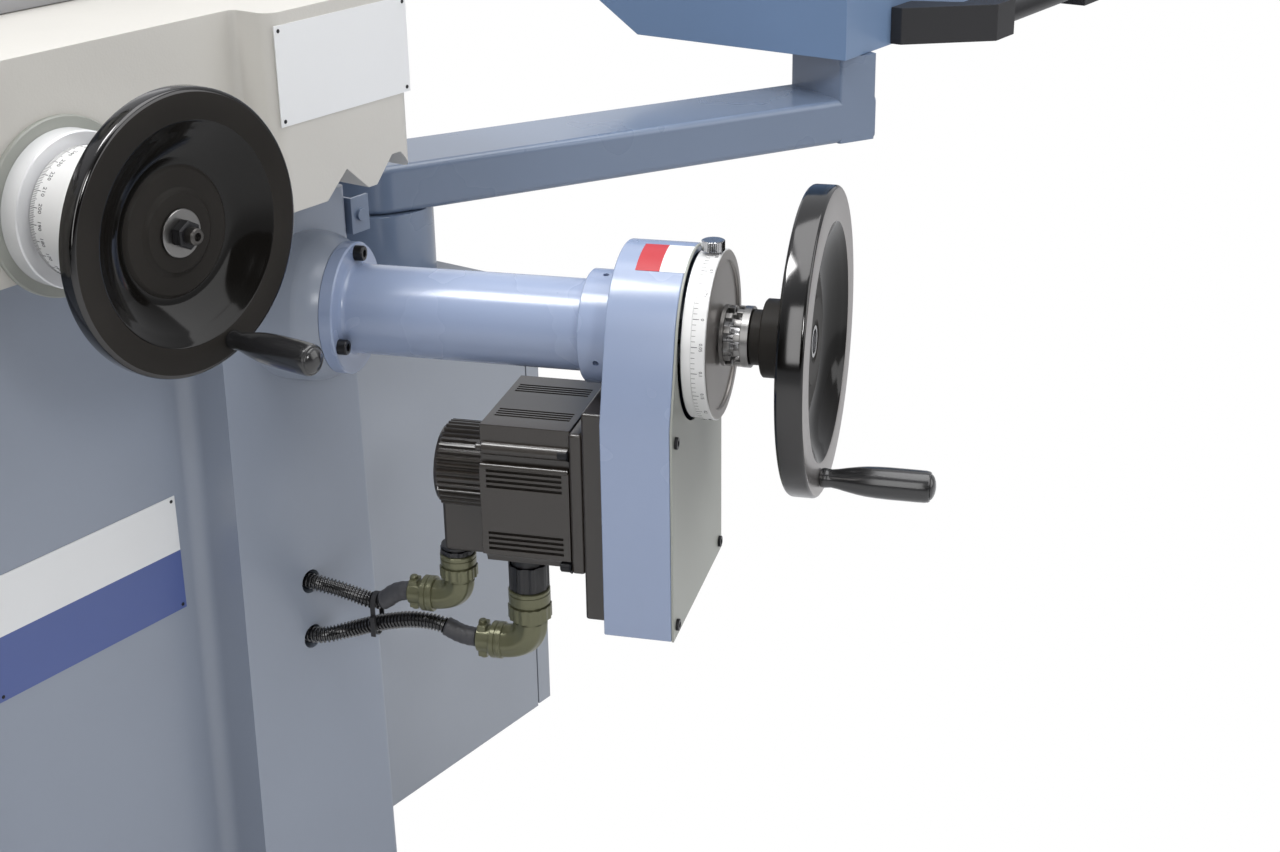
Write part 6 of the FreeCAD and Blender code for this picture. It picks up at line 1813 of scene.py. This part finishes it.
@dataclass
class Plates:
    """Bare places of the plates on the base, the saddle and the belt housing."""

    thickness: float = 0.8
    inset: float = 4.0

    def build(self, machine: Machine) -> None:
        """Makes the three plates, two of them with rivets.

        Args:
            machine: The machine that takes the pieces.
        """
        self.flat(machine, "name_place", (-60, 137), (426, 531), -513, "frame",
                  ((0.52, PLATE_BLUE), (1, PLATE_WHITE)))
        self.flat(machine, "safety_place", (182, 330), (853.5, 931), -633, "saddle", ((1, PLATE_WHITE),))
        for label, start, end, finish in (("red", 301.4, 321, PLATE_RED), ("white", 321, 341.5, PLATE_WHITE)):
            outline = arc((0, 0), 73.25, 91, 121, 16) + arc((0, 0), 72.8, 121, 91, 16)
            plate = seat(slab("housing_place_" + label, outline, start, end), FEED.spindle())
            machine.take(plate, finish, "frame")

    def flat(self, machine: Machine, label: str, across: Point, up: Point, face: float, body: str,
             bands: Sequence[tuple[float, Finish]]) -> None:
        """Makes one riveted plate on a face that looks forwards, in one or more plain bands.

        Args:
            machine: The machine that takes the pieces.
            label: Start of the pieces' names.
            across: Its left and right edges, in mm.
            up: Its lower and upper edges, in mm.
            face: Where the face lies, in mm.
            body: The body that carries it.
            bands: The share of the height at which each band ends, and its finish.
        """
        low = up[0]
        for index, (share, finish) in enumerate(bands):
            high = up[0] + (up[1] - up[0]) * share
            plate = block("%s_%d" % (label, index), (across[0], face - self.thickness, low),
                          (across[1], face + 0.2, high))
            machine.take(seat(plate, MACHINE.matrix()), finish, body)
            low = high
        rivets = []
        for x in (across[0] + self.inset, across[1] - self.inset):
            for z in (up[0] + self.inset, up[1] - self.inset):
                spot = Matrix.Translation(Vector((x, face - self.thickness, z)) * MM)
                rivets.append(rivet(MACHINE.matrix() @ spot @ Matrix.Rotation(math.radians(90), 4, "X")))
        machine.take(join(rivets, label + "_rivets"), DARK_STEEL, body)


@dataclass
class TableDrive:
    """Handwheel of the table with its pinion shaft."""

    face: float = 72.0

    def build(self, machine: Machine) -> None:
        """Makes the wheel and the shaft that turns with it.

        Args:
            machine: The machine that takes the pieces.
        """
        Handwheel("table", TABLE_WHEEL, "table_wheel", "table_grip", face=self.face, radius=80, rim=16,
                  band=18, disc=38, disc_sink=13, boss=28.6, boss_sink=10.5, bore=13.9, hub=26,
                  hub_back=self.face - 0.4, grip_angle=-140, grip_orbit=69, grip_length=78,
                  grip_radius=11.6).build(machine)
        end = self.face - 11
        machine.turned("table_pinion_shaft", [
            (-310, 0), (-310, 22), (-286, 22), (-286, 14), (end - 1, 14), (end, 13), (end, 0)],
            TABLE_WHEEL.spindle(), DARK_STEEL, "table_wheel")


@dataclass
class Chuck:
    """Pole lines on the magnetic chuck's ground top."""

    half: float = 262.0
    front: float = -435.0
    back: float = -235.0
    line_half: float = 1.1
    lines: int = 33
    top: float = 1071.3

    def build(self, machine: Machine) -> None:
        """Makes the filled lines between the poles.

        Args:
            machine: The machine that takes the pieces.
        """
        strips = []
        for index in range(self.lines):
            x = -self.half + 2 * self.half * index / (self.lines - 1)
            strips.append(block("line", (x - self.line_half, self.front, self.top - 0.5),
                                (x + self.line_half, self.back, self.top + 0.05)))
        machine.take(seat(join(strips, "chuck_pole_lines"), MACHINE.matrix()), BRASS, "table")


@dataclass
class Pendant:
    """Cover glass of the control box's screen."""

    low: tuple[float, float, float] = (1097, -642.6, 970)
    high: tuple[float, float, float] = (1335, -641.4, 1118)

    def build(self, machine: Machine) -> None:
        """Makes the dark glass, with nothing on it.

        Args:
            machine: The machine that takes the pieces.
        """
        glass = seat(block("screen_glass", self.low, self.high, 0.3), MACHINE.matrix())
        machine.take(glass, SCREEN_GLASS, "control_box")


# Name, place and size in metres, and power in watts of each soft box
LIGHTS = (("key", (1.6, -3.4, 2.0), (2.8, 3.0), 48), ("strip", (-2.6, -1.2, 1.9), (0.9, 2.2), 20),
          ("spark", (-1.2, -2.3, 1.8), (0.26, 0.42), 11), ("glint", (-0.95, 0.3, 3.3), (0.8, 0.8), 40),
          ("top", (0.3, -0.7, 3.7), (3.0, 2.4), 62))


@dataclass
class Studio:
    """White floor, soft lights and the photograph's viewpoint."""

    lens: float = 55.74
    position: tuple[float, float, float] = (-1151.4, -1231.1, 1220.7)
    right: tuple[float, float, float] = (0.5767, -0.8168, -0.0150)
    up: tuple[float, float, float] = (0.3213, 0.2099, 0.9234)
    forward: tuple[float, float, float] = (0.7511, 0.5374, -0.3835)

    def build(self) -> None:
        """Sets the whole stage."""
        bpy.context.scene.view_settings.view_transform = "Standard"
        self.floor()
        self.world()
        self.lights()
        self.camera()

    def floor(self) -> None:
        """Pale floor that the camera sees as plain white."""
        deselect()
        bpy.ops.mesh.primitive_plane_add(size=40, location=(0, 0, 0))
        floor = bpy.context.object
        floor.name = "studio_floor"
        material = bpy.data.materials.new("studio_floor")
        material.use_nodes = True
        build = NodeBuilder(material.node_tree)
        shader = material.node_tree.nodes["Principled BSDF"]
        build.feed(shader, {"Base Color": (0.60, 0.60, 0.60, 1), "Roughness": 0.9})
        seen = build.feed(build.add("Emission"), {"Strength": 1.0})
        camera = build.add("LightPath").outputs["Is Camera Ray"]
        mixed = build.feed(build.add("MixShader"), {0: camera, 1: shader.outputs[0], 2: seen.outputs[0]})
        build.feed(material.node_tree.nodes["Material Output"], {"Surface": mixed.outputs[0]})
        floor.data.materials.append(material)
        floor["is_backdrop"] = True

    def world(self) -> None:
        """Soft surroundings, brighter above, and plain white where the camera looks past the machine."""
        world = bpy.data.worlds.new("studio")
        bpy.context.scene.world = world
        world.use_nodes = True
        build = NodeBuilder(world.node_tree)
        where = build.add("TexCoord").outputs["Generated"]
        parts = build.feed(build.add("SeparateXYZ"), {0: where}).outputs
        across, behind, above = (build.math("MULTIPLY", parts[axis], weight)
                                 for axis, weight in enumerate((0.50, 0.55, 0.75)))
        lean = build.math("ADD", build.math("ADD", across, behind), above)
        soft = build.mix(build.ramp(lean, -0.25, 0.75), (0.05, 0.047, 0.043), (0.80, 0.81, 0.84))
        seen = build.mix(build.add("LightPath").outputs["Is Camera Ray"], soft, (1.0, 1.0, 1.0))
        build.feed(world.node_tree.nodes["Background"], {"Color": seen})

    def lights(self) -> None:
        """Soft boxes: a large one on the right, two above and two narrow ones on the left."""
        aim = Vector((-0.1, -0.25, 0.7))
        for name, spot, size, power in LIGHTS:
            deselect()
            bpy.ops.object.light_add(type="AREA", location=spot)
            light = bpy.context.object
            light.name = name
            light.data.shape = "RECTANGLE"
            light.data.size, light.data.size_y = size
            light.data.energy = power
            light.rotation_euler = (aim - Vector(spot)).to_track_quat("-Z", "Y").to_euler()

    def camera(self) -> None:
        """The photograph's viewpoint, found from edges of known size."""
        data = bpy.data.cameras.new("photograph")
        data.lens = self.lens
        data.sensor_width = 36
        data.clip_start = 0.05
        camera = bpy.data.objects.new("photograph", data)
        bpy.context.scene.collection.objects.link(camera)
        axes = Matrix((self.right, self.up, [-part for part in self.forward])).transposed()
        camera.matrix_world = Matrix.Translation(Vector(self.position) * MM) @ axes.to_4x4()
        bpy.context.scene.camera = camera


def main() -> None:
    """Builds the machine's looks and its stage, and notes the CAD frame's box."""
    logging.basicConfig(level=logging.INFO, format="%(name)s: %(message)s")
    machine = Machine()
    for assembly in (CrossFeed(), DownFeedArm(), DownFeedHead(), Servo(), Wiring(), TableDrive(), Plates(),
                     Chuck(), Pendant()):
        assembly.build(machine)
    machine.finish_plain()
    Studio().build()


if __name__ == "__main__":
    main()
